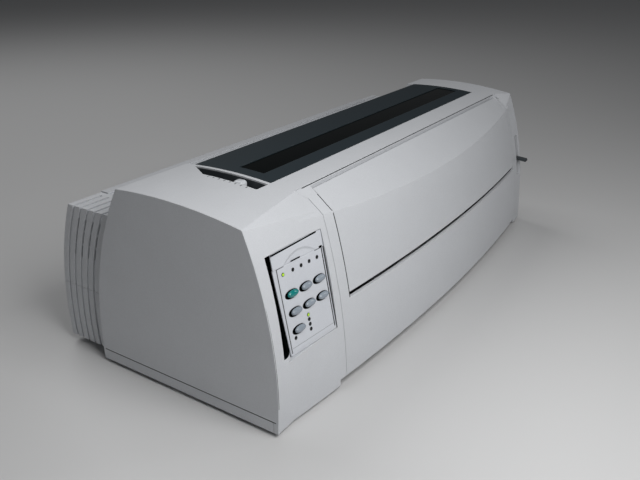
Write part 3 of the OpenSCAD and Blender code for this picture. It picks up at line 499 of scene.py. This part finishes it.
@dataclass
class Skins:
    """The moulded skins: their frame meshes, copied so that their curves shade smoothly."""

    nodes: dict[str, bpy.types.Object]
    bodies: dict[str, str] = field(default_factory=lambda: {
        "upper_casing": "chassis", "lower_casing": "chassis", "front_apron": "chassis",
        "rear_lower_casing": "chassis", "panel_plate": "chassis", "front_door": "door",
        "top_cover": "top_cover_body", "rear_cover": "rear_cover_body",
        "paper_guide": "paper_guide_body", "path_lever": "paper_lever"})
    finishes: dict[str, Finish] = field(default_factory=lambda: {
        "upper_casing": CASING, "lower_casing": TRAY, "front_apron": CASING,
        "rear_lower_casing": CASING, "panel_plate": PLATE, "front_door": CASING,
        "top_cover": COVER, "rear_cover": CASING, "paper_guide": GUIDE, "path_lever": LEVER})
    smooth: float = 24.0
    crisp: float = 6.0

    def build(self) -> None:
        """Copies each skin's mesh and dresses it."""
        for node, body in self.bodies.items():
            mesh = self.nodes[node].data.copy()
            mesh.materials.clear()
            self._clean(mesh)
            finish_mesh(mesh, self.crisp if node == "panel_plate" else self.smooth)
            hang(f"{node}_skin", mesh, body, self.finishes[node], node)

    def _clean(self, mesh: bpy.types.Mesh) -> None:
        """Joins the split points of a skin and melts its flat triangles together."""
        work = bmesh.new()
        work.from_mesh(mesh)
        bmesh.ops.remove_doubles(work, verts=work.verts, dist=2e-6)
        bmesh.ops.dissolve_limit(work, angle_limit=math.radians(0.4), verts=work.verts,
                                 edges=work.edges, delimit={"NORMAL"})
        bmesh.ops.triangulate(work, faces=[f for f in work.faces if len(f.verts) > 4])
        work.to_mesh(mesh)
        work.free()
        if "custom_normal" in mesh.attributes:
            mesh.attributes.remove(mesh.attributes["custom_normal"])


@dataclass
class Buttons:
    """The seven oval domed buttons of the operator panel."""

    places: tuple[Pair, ...] = (
        (-8.5, -40.4), (8.8, -40.4), (26.1, -40.4), (-8.1, -55.8), (9.2, -55.8), (26.4, -55.8),
        (-7.8, -71.3))
    length: float = 12.6
    width: float = 6.0
    rise: float = 3.3
    # height up to which the wells' painted shade covers the button's straight side
    shaded_side_top: float = 1.2
    stem_r: float = 1.5
    crown_steps: int = 12

    def build(self) -> None:
        """Builds each button as a dome on a stem."""
        for i, (u, v) in enumerate(self.places, start=1):
            add_piece(f"button_{i}_dome", merge([self._dome(u, v), self._stem(u, v)]),
                      f"key_{i}", TEAL if i == 1 else BUTTON, f"button_{i}", 50.0)

    def _dome(self, u: float, v: float) -> Shell:
        """Returns the dome: straight sides that roll over into a high crown."""
        profile = [(0.35, -2.0), (0.0, -1.6), (0.0, self.shaded_side_top)]
        reach = self.width / 2 * 0.97
        for k in range(1, self.crown_steps + 1):
            a = math.radians(90 * k / self.crown_steps)
            profile.append((reach * (1 - math.cos(a)),
                            self.shaded_side_top + (self.rise - self.shaded_side_top) * math.sin(a)))
        rings = [[PANEL.at(u + x, v + y, w)
                  for x, y in oval(self.length, self.width, inset)]
                 for inset, w in profile]
        return loft(rings)

    def _stem(self, u: float, v: float) -> Shell:
        """Returns the round stem that meets the switch."""
        rings = []
        for r, w in ((1.2, -4.4), (self.stem_r, -4.1), (self.stem_r, -1.9)):
            rings.append([PANEL.at(u + r * math.cos(a), v + r * math.sin(a), w)
                          for a in (math.radians(18 * k) for k in range(20))])
        return loft(rings)


@dataclass
class Lamps:
    """Ten small round lamps: two are lit, the others are smoked."""

    places: tuple[Pair, ...] = (
        (-14.9, -22.3), (-3.0, -22.3), (7.2, -22.3), (17.4, -22.3), (27.5, -22.3),
        (4.9, -64.7), (5.0, -68.7), (5.1, -73.1), (5.2, -77.5), (-14.1, -77.2))
    lit: tuple[int, ...] = (0, 5)
    barrel_r: float = 1.3
    flange_r: float = 1.62
    segments: int = 24
    crown_rings: int = 3

    def build(self) -> None:
        """Builds all lamps as one piece with a lit and a smoked finish."""
        shells: list[Shell] = []
        owner: list[int] = []
        for i, (u, v) in enumerate(self.places):
            shell, crown = self._lamp(u, v)
            shells.append(shell)
            owner += [int(i in self.lit and k >= crown) for k in range(len(shell[1]))]
        lenses = add_piece("lamp_lenses", merge(shells), "chassis", LAMP_DARK, "status_lamps")
        lenses.data.materials.append(LAMP_LIT.material())
        for face, index in zip(lenses.data.polygons, owner):
            face.material_index = index

    def _lamp(self, u: float, v: float) -> tuple[Shell, int]:
        """Returns one lamp and the number of the first face of its crown."""
        barrel, flange = self.barrel_r, self.flange_r
        rings = []
        for r, w in ((barrel, -4.0), (barrel, 0.04), (flange, 0.06), (flange, 0.66),
                     (flange - 0.12, 0.78), (flange - 0.42, 0.84), (0.8, 0.98), (0.3, 1.04)):
            rings.append([PANEL.at(u + r * math.cos(a), v + r * math.sin(a), w)
                          for a in (2 * math.pi * k / self.segments
                                    for k in range(self.segments))])
        return loft(rings), self.segments * (len(rings) - self.crown_rings)


@dataclass(frozen=True)
class Bar:
    """A bar that lies on the panel, with its limits along it, up it and out of it."""

    name: str
    u: Pair
    v: Pair
    w: Pair
    # bars are painted shade unless another finish is given
    finish: Finish = SHADE


@dataclass
class PanelTrim:
    """What lies on the operator panel's plate: the pad, the cap, wells, a sill and bars; the
    wells, the sill's top and most bars are painted shade.
    """

    buttons: Buttons
    lamps: Lamps
    pad_u: Pair = (-20.6, 34.4)
    pad_v: Pair = (-88.4, -15.7)
    pad_rise: float = 0.5
    pad_corner: float = 1.6
    pad_edge: float = 0.3
    cap_u: Pair = (-25.4, 36.9)
    cap_v: Pair = (-15.6, -1.1)
    cap_rise: float = 0.95
    cap_foot: float = 0.01
    cap_cells: tuple[int, int] = (125, 30)
    scoop_at: Pair = (7.2, -37.6)
    scoop_r: float = 29.8
    scoop_deep: float = 0.85
    scoop_edge: float = 2.0
    # the button holes sit low and to the left, so the wells' painted shade shows as a crescent
    # there
    well_gap: Pair = (1.25, 0.7)
    well_shift: Pair = (-1.1, -0.25)
    well_wall: float = 0.1
    lamp_hole: float = 1.72
    sill_v: tuple[float, float, float] = (-90.58, -86.4, -86.2)
    sill_foot: float = -5.3
    sill_profile: tuple[Pair, ...] = ((-35.9, 4.75), (-32.0, 4.3), (-29.0, 3.4), (-26.0, 1.6),
                                      (-23.0, -1.0))
    bars: tuple[Bar, ...] = (
        # painted shade: the slit, and the groove, ledge and plate side at the panel's left, which
        # lie in shade
        Bar("panel_slit", (-3.6, 7.6), (-15.55, -14.5), (0.2, 0.75)),
        Bar("panel_groove_floor_shade", (-35.8, -24.7), (-90.3, -0.9), (-5.45, -4.9)),
        Bar("panel_ledge_side_shade", (-24.6, -24.22), (-90.3, -0.9), (-5.4, -2.15)),
        Bar("panel_groove_side_shade", (-22.75, -22.25), (-90.2, -1.0), (-2.45, -0.9)),
        Bar("panel_ledge_shade", (-24.3, -22.3), (-90.3, -0.9), (-2.48, -2.2)),
        # painted shade in the gaps beside the pad, along the recess's right edge and in the notch
        # at the pad's top right corner
        Bar("pad_right_gap_shade", (34.45, 35.3), (-87.5, -15.7), (0.02, 0.55)),
        Bar("recess_right_edge_shade", (36.9, 37.36), (-90.2, -15.7), (0.4, 0.85)),
        Bar("pad_corner_notch_shade", (31.4, 35.2), (-15.9, -14.1), (0.4, 1.25)),
        # mid-grey painted shadow under the pad's top edge, and along its faint foot groove below
        Bar("pad_top_shade_left", (-20.2, -12.6), (-16.5, -15.75), (0.48, 0.54), SHADOW_GREY),
        Bar("pad_top_shade_right", (25.8, 33.0), (-16.5, -15.75), (0.48, 0.54), SHADOW_GREY),
        Bar("pad_left_gap_shade", (-21.0, -20.65), (-88.2, -15.9), (0.0, 0.45)),
        Bar("pad_foot_shadow_line", (-19.6, 33.8), (-84.5, -84.2), (0.48, 0.53), SHADOW_GREY))

    def build(self) -> None:
        """Builds all trim pieces."""
        self._pad()
        self._wells()
        self._cap()
        self._sill()
        for bar in self.bars:
            self._bar(bar)
        # painted shadow under the cap's top edge
        self._slab("panel_top_shadow", [(-25.2, -4.3), (-25.2, -2.9), (31.0, -0.75), (31.0, -2.0)],
                   (self.cap_rise - 0.3, self.cap_rise + 0.06), SHADE)
        self._slab("panel_left_edge", [(-25.4, -15.7), (-22.6, -89.0), (-22.2, -89.0),
                                       (-22.2, -15.7)], (-0.9, 0.0), PLATE)

    def _pad(self) -> None:
        """Builds the raised pad, a rounded sheet with a hole for each button and lamp."""
        u0, u1 = self.pad_u
        v0, v1 = self.pad_v
        mid = ((u0 + u1) / 2, (v0 + v1) / 2)
        levels = ((0.0, 0.0), (0.0, self.pad_rise - self.pad_edge), (self.pad_edge, self.pad_rise))
        loops: list[list[Outline]] = [[] for _ in levels]
        for level, (inset, _) in enumerate(levels):
            outline = rounded_box((u1 - u0 - 2 * inset, v1 - v0 - 2 * inset),
                                  self.pad_corner - inset)
            loops[level].append([(mid[0] + x, mid[1] + y) for x, y in outline])
            for u, v in self.buttons.places:
                hole = self._hole(-inset)
                du, dv = self.well_shift
                loops[level].append([(u + du + x, v + dv + y) for x, y in hole][::-1])
            for u, v in self.lamps.places:
                ring = [(u + self.lamp_hole * math.cos(a), v + self.lamp_hole * math.sin(a))
                        for a in (math.radians(-15 * k) for k in range(24))]
                loops[level].append(ring)
        points: list[Vector] = []
        starts: list[list[int]] = []
        for level, (_, w) in enumerate(levels):
            starts.append([])
            for loop in loops[level]:
                starts[level].append(len(points))
                points += [PANEL.at(u, v, w) for u, v in loop]
        faces: list[Face] = []
        for level in range(len(levels) - 1):
            for number, loop in enumerate(loops[level]):
                low, high, count = starts[level][number], starts[level + 1][number], len(loop)
                faces += [(low + i, low + (i + 1) % count, high + (i + 1) % count, high + i)
                          for i in range(count)]
        for level in (0, len(levels) - 1):
            flat = [[Vector((u, v, 0.0)) for u, v in loop] for loop in loops[level]]
            base = starts[level][0]
            faces += [tuple(base + k for k in tri) for tri in tessellate_polygon(flat)]
        add_piece("panel_pad", (points, faces), "chassis", PLATE, sharp=25.0)

    def _hole(self, inset: float) -> Outline:
        """Returns the outline of a button's hole in the pad, drawn in by inset."""
        return oval(self.buttons.length + 2 * self.well_gap[0],
                    self.buttons.width + 2 * self.well_gap[1], inset)

    def _wells(self) -> None:
        """Builds the painted shade in the wells round the buttons and up their sides, as one piece
        of closed rings.
        """
        wells: list[Shell] = []
        b = self.buttons
        rise, floor = self.pad_rise - 0.06, 0.02
        rings_of = ((False, 0.02, rise), (False, 0.02, floor), (True, -0.06, floor),
                    (True, -0.06, b.shaded_side_top), (True, -0.12, b.shaded_side_top),
                    (True, -0.12, floor + self.well_wall),
                    (False, 0.02 + self.well_wall, floor + self.well_wall),
                    (False, 0.02 + self.well_wall, rise))
        for u, v in b.places:
            rings = []
            for at_button, inset, w in rings_of:
                outline = oval(b.length, b.width, inset) if at_button else self._hole(inset)
                du, dv = (0.0, 0.0) if at_button else self.well_shift
                rings.append([PANEL.at(u + du + x, v + dv + y, w) for x, y in outline])
            wells.append(loft([*rings, rings[0]], caps=False))
        add_piece("button_well_shade", merge(wells), "chassis", SHADE)

    def _slab(self, name: str, outline: Outline, w: Pair, finish: Finish) -> None:
        """Builds a flat slab with an outline given on the panel.

        Args:
            name: the piece's name.
            outline: its corners along and up the panel.
            w: its limits out of the panel.
            finish: its finish.
        """
        add_piece(name, loft([[PANEL.at(u, v, height) for u, v in outline] for height in w]),
                  "chassis", finish)

    def _cap(self) -> None:
        """Builds the raised band over the pad, with its shallow finger scoop."""
        (u0, u1), (v0, v1) = self.cap_u, self.cap_v
        columns, rows = self.cap_cells
        points: list[Vector] = []
        for row in range(rows + 1):
            for column in range(columns + 1):
                u, v = u0 + (u1 - u0) * column / columns, v0 + (v1 - v0) * row / rows
                into = self.scoop_r - math.hypot(u - self.scoop_at[0], v - self.scoop_at[1])
                share = min(1.0, max(0.0, into / self.scoop_edge))
                points.append(PANEL.at(u, v, self.cap_rise - self.scoop_deep
                                       * share * (2 - share)))
        wide = columns + 1
        faces = [(r * wide + c, r * wide + c + 1, (r + 1) * wide + c + 1, (r + 1) * wide + c)
                 for r in range(rows) for c in range(columns)]
        rim = (list(range(columns)) + [r * wide + columns for r in range(rows)]
               + [rows * wide + c for c in range(columns, 0, -1)]
               + [r * wide for r in range(rows, 0, -1)])
        base = len(points)
        foot = {corner: base + k for k, corner in enumerate(rim)}
        for corner in rim:
            row, column = divmod(corner, wide)
            points.append(PANEL.at(u0 + (u1 - u0) * column / columns,
                                   v0 + (v1 - v0) * row / rows, self.cap_foot))
        faces += [(foot[a], foot[b], b, a) for a, b in zip(rim, rim[1:] + rim[:1])]
        faces.append(tuple(foot[corner] for corner in reversed(rim)))
        add_piece("panel_cap", (points, faces), "chassis", PLATE, sharp=14.0)

    def _sill(self) -> None:
        """Builds the wedge that closes the groove's foot, and a sheet of painted shade on top of
        it.
        """
        foot, top, shade_top = self.sill_v
        for name, low, high, drop, finish in (("panel_groove_sill", foot, top, 0.0, CASING),
                                              ("panel_sill_shade", top, shade_top, 0.25, SHADE)):
            rings = [[PANEL.at(u, low, self.sill_foot), PANEL.at(u, low, w - drop),
                      PANEL.at(u, high, w - drop), PANEL.at(u, high, self.sill_foot)]
                     for u, w in self.sill_profile]
            add_piece(name, loft(rings), "chassis", finish)

    def _bar(self, bar: Bar) -> None:
        """Builds a bar with softened corners."""
        (u0, u1), (v0, v1), (w0, w1) = bar.u, bar.v, bar.w
        mid = ((u0 + u1) / 2, (v0 + v1) / 2)
        size = (u1 - u0, v1 - v0)
        soft = min(0.2, min(size) / 5, (w1 - w0) / 3)
        rings = []
        for inset, height in ((soft, w0), (0.0, w0 + soft), (0.0, w1 - soft), (soft, w1)):
            outline = rounded_box((size[0] - 2 * inset, size[1] - 2 * inset), min(size) / 4, 3)
            rings.append([PANEL.at(mid[0] + x, mid[1] + y, height) for x, y in outline])
        add_piece(bar.name, loft(rings), "chassis", bar.finish)


@dataclass
class SlotTicks:
    """The row of small marks beside the thickness lever's slot."""

    x: Pair = (61.6, 64.2)
    first_y: float = 72.0
    pitch: float = 6.0
    count: int = 8
    width: float = 0.8

    def build(self) -> None:
        """Builds the marks as one piece of thin slabs that follow the dome."""
        marks: list[Shell] = []
        x0, x1 = self.x
        for k in range(self.count):
            y = self.first_y + k * self.pitch
            low, high = y - self.width / 2, y + self.width / 2
            rings = []
            for lift, inset in ((-0.3, 0.0), (0.03, 0.0), (0.08, 0.08)):
                z0, z1 = CASE.top_z(low) + lift, CASE.top_z(high) + lift
                rings.append([CASE.at(x0 + inset, low + inset, z0),
                              CASE.at(x1 - inset, low + inset, z0),
                              CASE.at(x1 - inset, high - inset, z1),
                              CASE.at(x0 + inset, high - inset, z1)])
            marks.append(loft(rings))
        add_piece("slot_ticks", merge(marks), "chassis", LEVER)


@dataclass
class PlatenKnob:
    """The ribbed hand knob on the platen's right end."""

    x: Pair = (578.5, 596.5)
    centre: Pair = (118.0, 116.7)
    ribs: int = 18
    rib_depth: float = 1.1
    segments: int = 216

    def build(self) -> None:
        """Builds the knob as one turned and ribbed body with a dished end."""
        x0, x1 = self.x
        profile = [(x0, 13.0, 0.0), (x0, 16.2, 0.0), (x0 + 0.8, 17.0, 0.0), (x0 + 2.4, 17.0, 0.0),
                   (x0 + 3.6, 17.0, 1.0), (x1 - 3.0, 16.8, 1.0), (x1 - 1.2, 16.3, 0.8),
                   (x1 - 0.3, 15.2, 0.3), (x1, 14.0, 0.0), (x1 - 0.2, 12.8, 0.0),
                   (x1 - 1.4, 12.0, 0.0), (x1 - 1.7, 6.0, 0.0), (x1 - 1.7, 1.0, 0.0)]
        rings = [self._ring(x, r, depth) for x, r, depth in profile]
        add_piece("platen_knob_body", loft(rings), "platen", KNOB, "platen_knob", 30.0)

    def _ring(self, x: float, r: float, depth: float) -> Ring:
        """Returns a ring at x, with grip grooves of the given share of their full depth."""
        ring = []
        for k in range(self.segments):
            a = 2 * math.pi * k / self.segments
            wave = max(0.0, math.cos(self.ribs * a)) ** 1.5
            reach = r - self.rib_depth * depth * wave
            ring.append(CASE.at(x, self.centre[0] + reach * math.cos(a),
                                self.centre[1] + reach * math.sin(a)))
        return ring


@dataclass
class ThicknessLever:
    """The paper thickness lever: a flat arm on a round eye, with a rounded light grip."""

    pivot: Pair = (104.0, 60.0)
    tip_y: float = 86.0
    x: Pair = (69.0, 73.0)
    grip_x: Pair = (66.5, 76.0)
    grip_depth: float = 10.0
    grip_corner: float = 2.6
    eye_r: float = 9.0
    bore_r: float = 4.05
    arm_r: float = 4.0

    def build(self) -> None:
        """Builds the arm and the grip."""
        self._arm()
        self._grip()

    def _arm(self) -> None:
        """Builds the eye with its bore, drawn out into the arm."""
        tip = (self.tip_y + 1, CASE.top_z(self.tip_y) - 9)
        dy, dz = tip[0] - self.pivot[0], tip[1] - self.pivot[1]
        length = math.hypot(dy, dz)
        lead = math.atan2(dz, dy)
        spread = math.acos((self.eye_r - self.arm_r) / length)
        outer: Outline = []
        for k in range(25):
            a = lead + spread + (2 * math.pi - 2 * spread) * k / 24
            outer.append((self.pivot[0] + self.eye_r * math.cos(a),
                          self.pivot[1] + self.eye_r * math.sin(a)))
        for k in range(13):
            a = lead - spread + 2 * spread * k / 12
            outer.append((tip[0] + self.arm_r * math.cos(a), tip[1] + self.arm_r * math.sin(a)))
        inner = []
        for y, z in outer:
            a = math.atan2(z - self.pivot[1], y - self.pivot[0])
            inner.append((self.pivot[0] + self.bore_r * math.cos(a),
                          self.pivot[1] + self.bore_r * math.sin(a)))
        rings = []
        for outline, x in ((inner, self.x[0]), (outer, self.x[0]), (outer, self.x[1]),
                           (inner, self.x[1]), (inner, self.x[0])):
            rings.append([CASE.at(x, y, z) for y, z in outline])
        add_piece("thickness_lever_arm", loft(rings, caps=False), "gap_lever", LIGHT_LEVER,
                  "thickness_lever")

    def _grip(self) -> None:
        """Builds the grip: a bar with a crowned top and round corners."""
        top = CASE.top_z(self.tip_y)
        cx = (self.grip_x[0] + self.grip_x[1]) / 2
        size = (self.grip_x[1] - self.grip_x[0], self.grip_depth)
        rings = []
        for z, inset in ((top - 9, 0.6), (top - 8.4, 0.0), (top - 2.2, 0.0), (top - 0.9, 0.5),
                         (top - 0.1, 1.5), (top + 0.25, 2.8)):
            outline = rounded_box((size[0] - 2 * inset, size[1] - 2 * inset),
                                  max(0.6, self.grip_corner - inset))
            rings.append([CASE.at(cx + x, self.tip_y + y, z) for x, y in outline])
        add_piece("thickness_lever_grip", loft(rings), "gap_lever", LIGHT_LEVER,
                  "thickness_lever", 50.0)


@dataclass
class SlotShade:
    """A dark sheet of painted shade on the rear walls of the thickness lever's slot."""

    x: Pair = (65.0, 80.5)
    y: Pair = (63.2, 145.5)
    left_y: float = 122.0
    depth: float = 15.0
    lip: float = 1.3
    thick: float = 0.25

    def build(self) -> None:
        """Builds the painted shade as one folded sheet that follows the dome."""
        (x0, x1), (y0, y1) = self.x, self.y
        path = [(x1 - 0.05, y0 + 0.1 + (y1 - y0 - 0.5) * k / 16) for k in range(17)]
        path += [(x0 + 0.1 + (x1 - x0 - 0.2) * k / 4, self.left_y - 0.3
                  + (y1 - self.left_y) * k / 4) for k in (3, 2, 1, 0)]
        rings = []
        for x, y in path:
            top = CASE.top_z(y)
            low, high = top - self.depth, top - self.lip
            inner = (x - self.thick, y - self.thick)
            rings.append([CASE.at(x, y, low), CASE.at(x, y, high),
                          CASE.at(*inner, high), CASE.at(*inner, low)])
        # the lever's dark grey serves here as painted shade
        add_piece("lever_slot_shade", loft(rings), "chassis", LEVER)


@dataclass
class SeamShades:
    """Thin strips of painted shade in the gaps between the mouldings, laid onto the frame's skins.
    """

    nodes: dict[str, bpy.types.Object]
    sunk: float = 0.15
    proud: float = 0.04
    apron_edge: tuple[Pair, ...] = ((39.7, 86.3), (32.0, 94.4), (19.0, 94.75), (-60.0, 94.75))
    door_edge: tuple[Pair, ...] = ((40.0, 107.3), (-60.0, 107.3))
    apron_top_y: float = 39.65
    front_edge_x: float = 0.9
    tray_top: float = 10.5
    sight_centre: Pair = (100.0, 60.0)
    sight_reach: float = 260.0
    sight_lines: int = 45

    def build(self) -> None:
        """Builds all strips."""
        apron, casing = self._tree("front_apron"), self._tree("upper_casing")
        self._strip("apron_top_gap_shade", 0.7, 0.7,
                    [self._hit(apron, (x, self.apron_top_y, 220.0), (x, self.apron_top_y, 0.0))
                     for x in range(86, 547, 10)])
        self._strip("apron_left_gap_shade", 0.7, 0.15,
                    self._round(apron, self.apron_edge, 122.0, 160.0))
        self._strip("door_left_gap_shade", 0.8, 0.8, self._round(apron, self.door_edge, 122.5, 170.0))
        self._strip("front_edge_shade", 0.15, 0.6,
                    self._round(casing, ((90.0, self.front_edge_x), (-60.0, self.front_edge_x)),
                                150.0, 199.0))
        self._strip("tray_gap_shade", 0.8, 0.8,
                    [self._hit(casing, (-40.0, y, self.tray_top), (30.0, y, self.tray_top))
                     for y in range(0, 206, 3)])

    def _tree(self, node: str) -> BVHTree:
        """Returns a search tree of a frame node's mesh."""
        mesh = self.nodes[node].data
        return BVHTree.FromPolygons([v.co for v in mesh.vertices],
                                    [p.vertices for p in mesh.polygons])

    def _hit(self, tree: BVHTree, start: Point, end: Point) -> Hit:
        """Returns where the line from start to end, in casing millimetres, meets a skin."""
        origin, goal = CASE.at(*start), CASE.at(*end)
        place, normal, _, _ = tree.ray_cast(origin, (goal - origin).normalized(),
                                            (goal - origin).length)
        return None if place is None else (place, normal)

    def _round(self, tree: BVHTree, edge: Sequence[Pair], first: float,
               last: float) -> list[Hit]:
        """Follows an upright edge from the top over the slant and down the front.

        Args:
            tree: the skin's search tree.
            edge: pairs of y and x along the edge.
            first: angle of the first sight line round a point inside, 90 being straight up.
            last: angle of the last one.

        Returns:
            A place with its surface normal for each sight line, or None where it misses.
        """
        hits: list[Hit] = []
        mid_y, mid_z = self.sight_centre
        for k in range(self.sight_lines):
            a = math.radians(first + (last - first) * k / (self.sight_lines - 1))
            x = edge[0][1]
            hit: Hit = None
            for _ in range(3):
                start = (x, mid_y + self.sight_reach * math.cos(a),
                         mid_z + self.sight_reach * math.sin(a))
                hit = self._hit(tree, start, (x, mid_y, mid_z))
                if hit is None:
                    break
                y = hit[0].y / METRES_PER_MM + CASE.mid_y
                for (y0, x0), (y1, x1) in zip(edge, edge[1:]):
                    if y1 <= y <= y0:
                        x = x0 + (x1 - x0) * (y0 - y) / (y0 - y1)
            hits.append(hit)
        return hits

    def _strip(self, name: str, first: float, last: float, hits: Sequence[Hit]) -> None:
        """Builds a strip of painted shade along the places found, which narrows from first to
        last.

        Args:
            name: the piece's name.
            first: its width at the start.
            last: its width at the end.
            hits: places with their surface normals, or None where the line misses.
        """
        kept = [h for h in hits if h is not None]
        LOG.info("%s: %d of %d sight lines hit", name, len(kept), len(hits))
        if len(kept) < 2:
            return
        rings = []
        for k, (place, normal) in enumerate(kept):
            ahead = kept[min(k + 1, len(kept) - 1)][0] - kept[max(k - 1, 0)][0]
            side = normal.cross(ahead).normalized()
            width = first + (last - first) * k / (len(kept) - 1)
            half = width / 2 * METRES_PER_MM
            up, down = normal * self.proud * METRES_PER_MM, normal * self.sunk * METRES_PER_MM
            rings.append([place - side * half - down, place - side * half + up,
                          place + side * half + up, place + side * half - down])
        add_piece(name, loft(rings), "chassis", SHADE)


# ---- studio ----


@dataclass(frozen=True)
class SoftLamp:
    """A soft square lamp.

    Attributes:
        name: its name.
        place: where it hangs, in metres.
        target: what it faces.
        size: length of its sides.
        power: in watts.
    """

    name: str
    place: Point
    target: Point
    size: float
    power: float


@dataclass
class Studio:
    """Camera, floor, world and lamps."""

    eye: Point = (-356.3, -275.5, 369.4)
    yaw: float = 56.75
    pitch: float = 23.75
    roll: float = 0.11
    lens: float = 38.9
    floor_half: float = 6.0
    floor_color: Point = (0.62, 0.62, 0.62)
    world_color: Point = (0.95, 0.97, 1.0)
    world_strength: float = 0.075
    lamps: tuple[SoftLamp, ...] = (
        SoftLamp("key", (-0.34, -0.48, 0.58), (-0.24, -0.08, 0.1), 0.4, 3.6),
        SoftLamp("fill", (0.5, -0.85, 0.5), (-0.25, -0.1, 0.1), 0.14, 0.7),
        SoftLamp("rear", (0.2, 1.3, 1.9), (0.1, 0.05, 0.15), 1.2, 13.0))

    def build(self) -> None:
        """Sets up the camera, the floor, the world and the lamps."""
        bpy.context.scene.view_settings.view_transform = "Standard"
        self._camera()
        self._floor()
        self._world()
        for lamp in self.lamps:
            self._lamp(lamp)

    def _camera(self) -> None:
        """Places the camera at the photograph's viewing angle."""
        camera = bpy.data.cameras.new("camera")
        camera.lens = self.lens
        camera.sensor_width = 36.0
        camera.clip_start = 0.02
        obj = bpy.data.objects.new("camera", camera)
        turn = (Matrix.Rotation(math.radians(-self.yaw), 4, "Z")
                @ Matrix.Rotation(math.radians(90 - self.pitch), 4, "X")
                @ Matrix.Rotation(math.radians(self.roll), 4, "Z"))
        obj.matrix_world = Matrix.Translation(CASE.at(*self.eye)) @ turn
        bpy.context.scene.collection.objects.link(obj)
        bpy.context.scene.camera = obj

    def _floor(self) -> None:
        """Lays the plain pale floor."""
        h = self.floor_half
        mesh = bpy.data.meshes.new("floor")
        mesh.from_pydata([(-h, -h, 0), (h, -h, 0), (h, h, 0), (-h, h, 0)], [], [(0, 1, 2, 3)])
        mat = bpy.data.materials.new("floor_paint")
        mat.use_nodes = True
        shader = mat.node_tree.nodes["Principled BSDF"]
        shader.inputs["Base Color"].default_value = (*self.floor_color, 1.0)
        shader.inputs["Roughness"].default_value = 0.9
        mesh.materials.append(mat)
        obj = bpy.data.objects.new("floor", mesh)
        bpy.context.scene.collection.objects.link(obj)

    def _world(self) -> None:
        """Sets an even pale surrounding."""
        world = bpy.data.worlds.new("studio")
        bpy.context.scene.world = world
        world.use_nodes = True
        background = world.node_tree.nodes["Background"]
        background.inputs["Color"].default_value = (*self.world_color, 1.0)
        background.inputs["Strength"].default_value = self.world_strength

    def _lamp(self, lamp: SoftLamp) -> None:
        """Hangs one lamp so that it faces its target."""
        light = bpy.data.lights.new(lamp.name, "AREA")
        light.size = lamp.size
        light.energy = lamp.power
        obj = bpy.data.objects.new(lamp.name, light)
        obj.location = lamp.place
        sight = Vector(lamp.target) - Vector(lamp.place)
        obj.rotation_euler = sight.to_track_quat("-Z", "Y").to_euler()
        bpy.context.scene.collection.objects.link(obj)


def dress_carried(nodes: dict[str, bpy.types.Object]) -> None:
    """Gives each part that keeps its own mesh its finish."""
    for finish, names in CARRIED.items():
        for name in names:
            obj = nodes[name]
            if not obj.material_slots:
                obj.data.materials.append(finish.material())
            for slot in obj.material_slots:
                slot.material = finish.material()


def main() -> None:
    """Builds the printer's looks on its frame."""
    logging.basicConfig(level=logging.INFO, format="%(name)s: %(message)s")
    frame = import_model()
    nodes = frame["nodes"]
    Studio().build()
    dress_carried(nodes)
    Skins(nodes).build()
    buttons, lamps = Buttons(), Lamps()
    buttons.build()
    lamps.build()
    PanelTrim(buttons, lamps).build()
    SlotTicks().build()
    PlatenKnob().build()
    ThicknessLever().build()
    SlotShade().build()
    SeamShades(nodes).build()


if __name__ == "__main__":
    main()
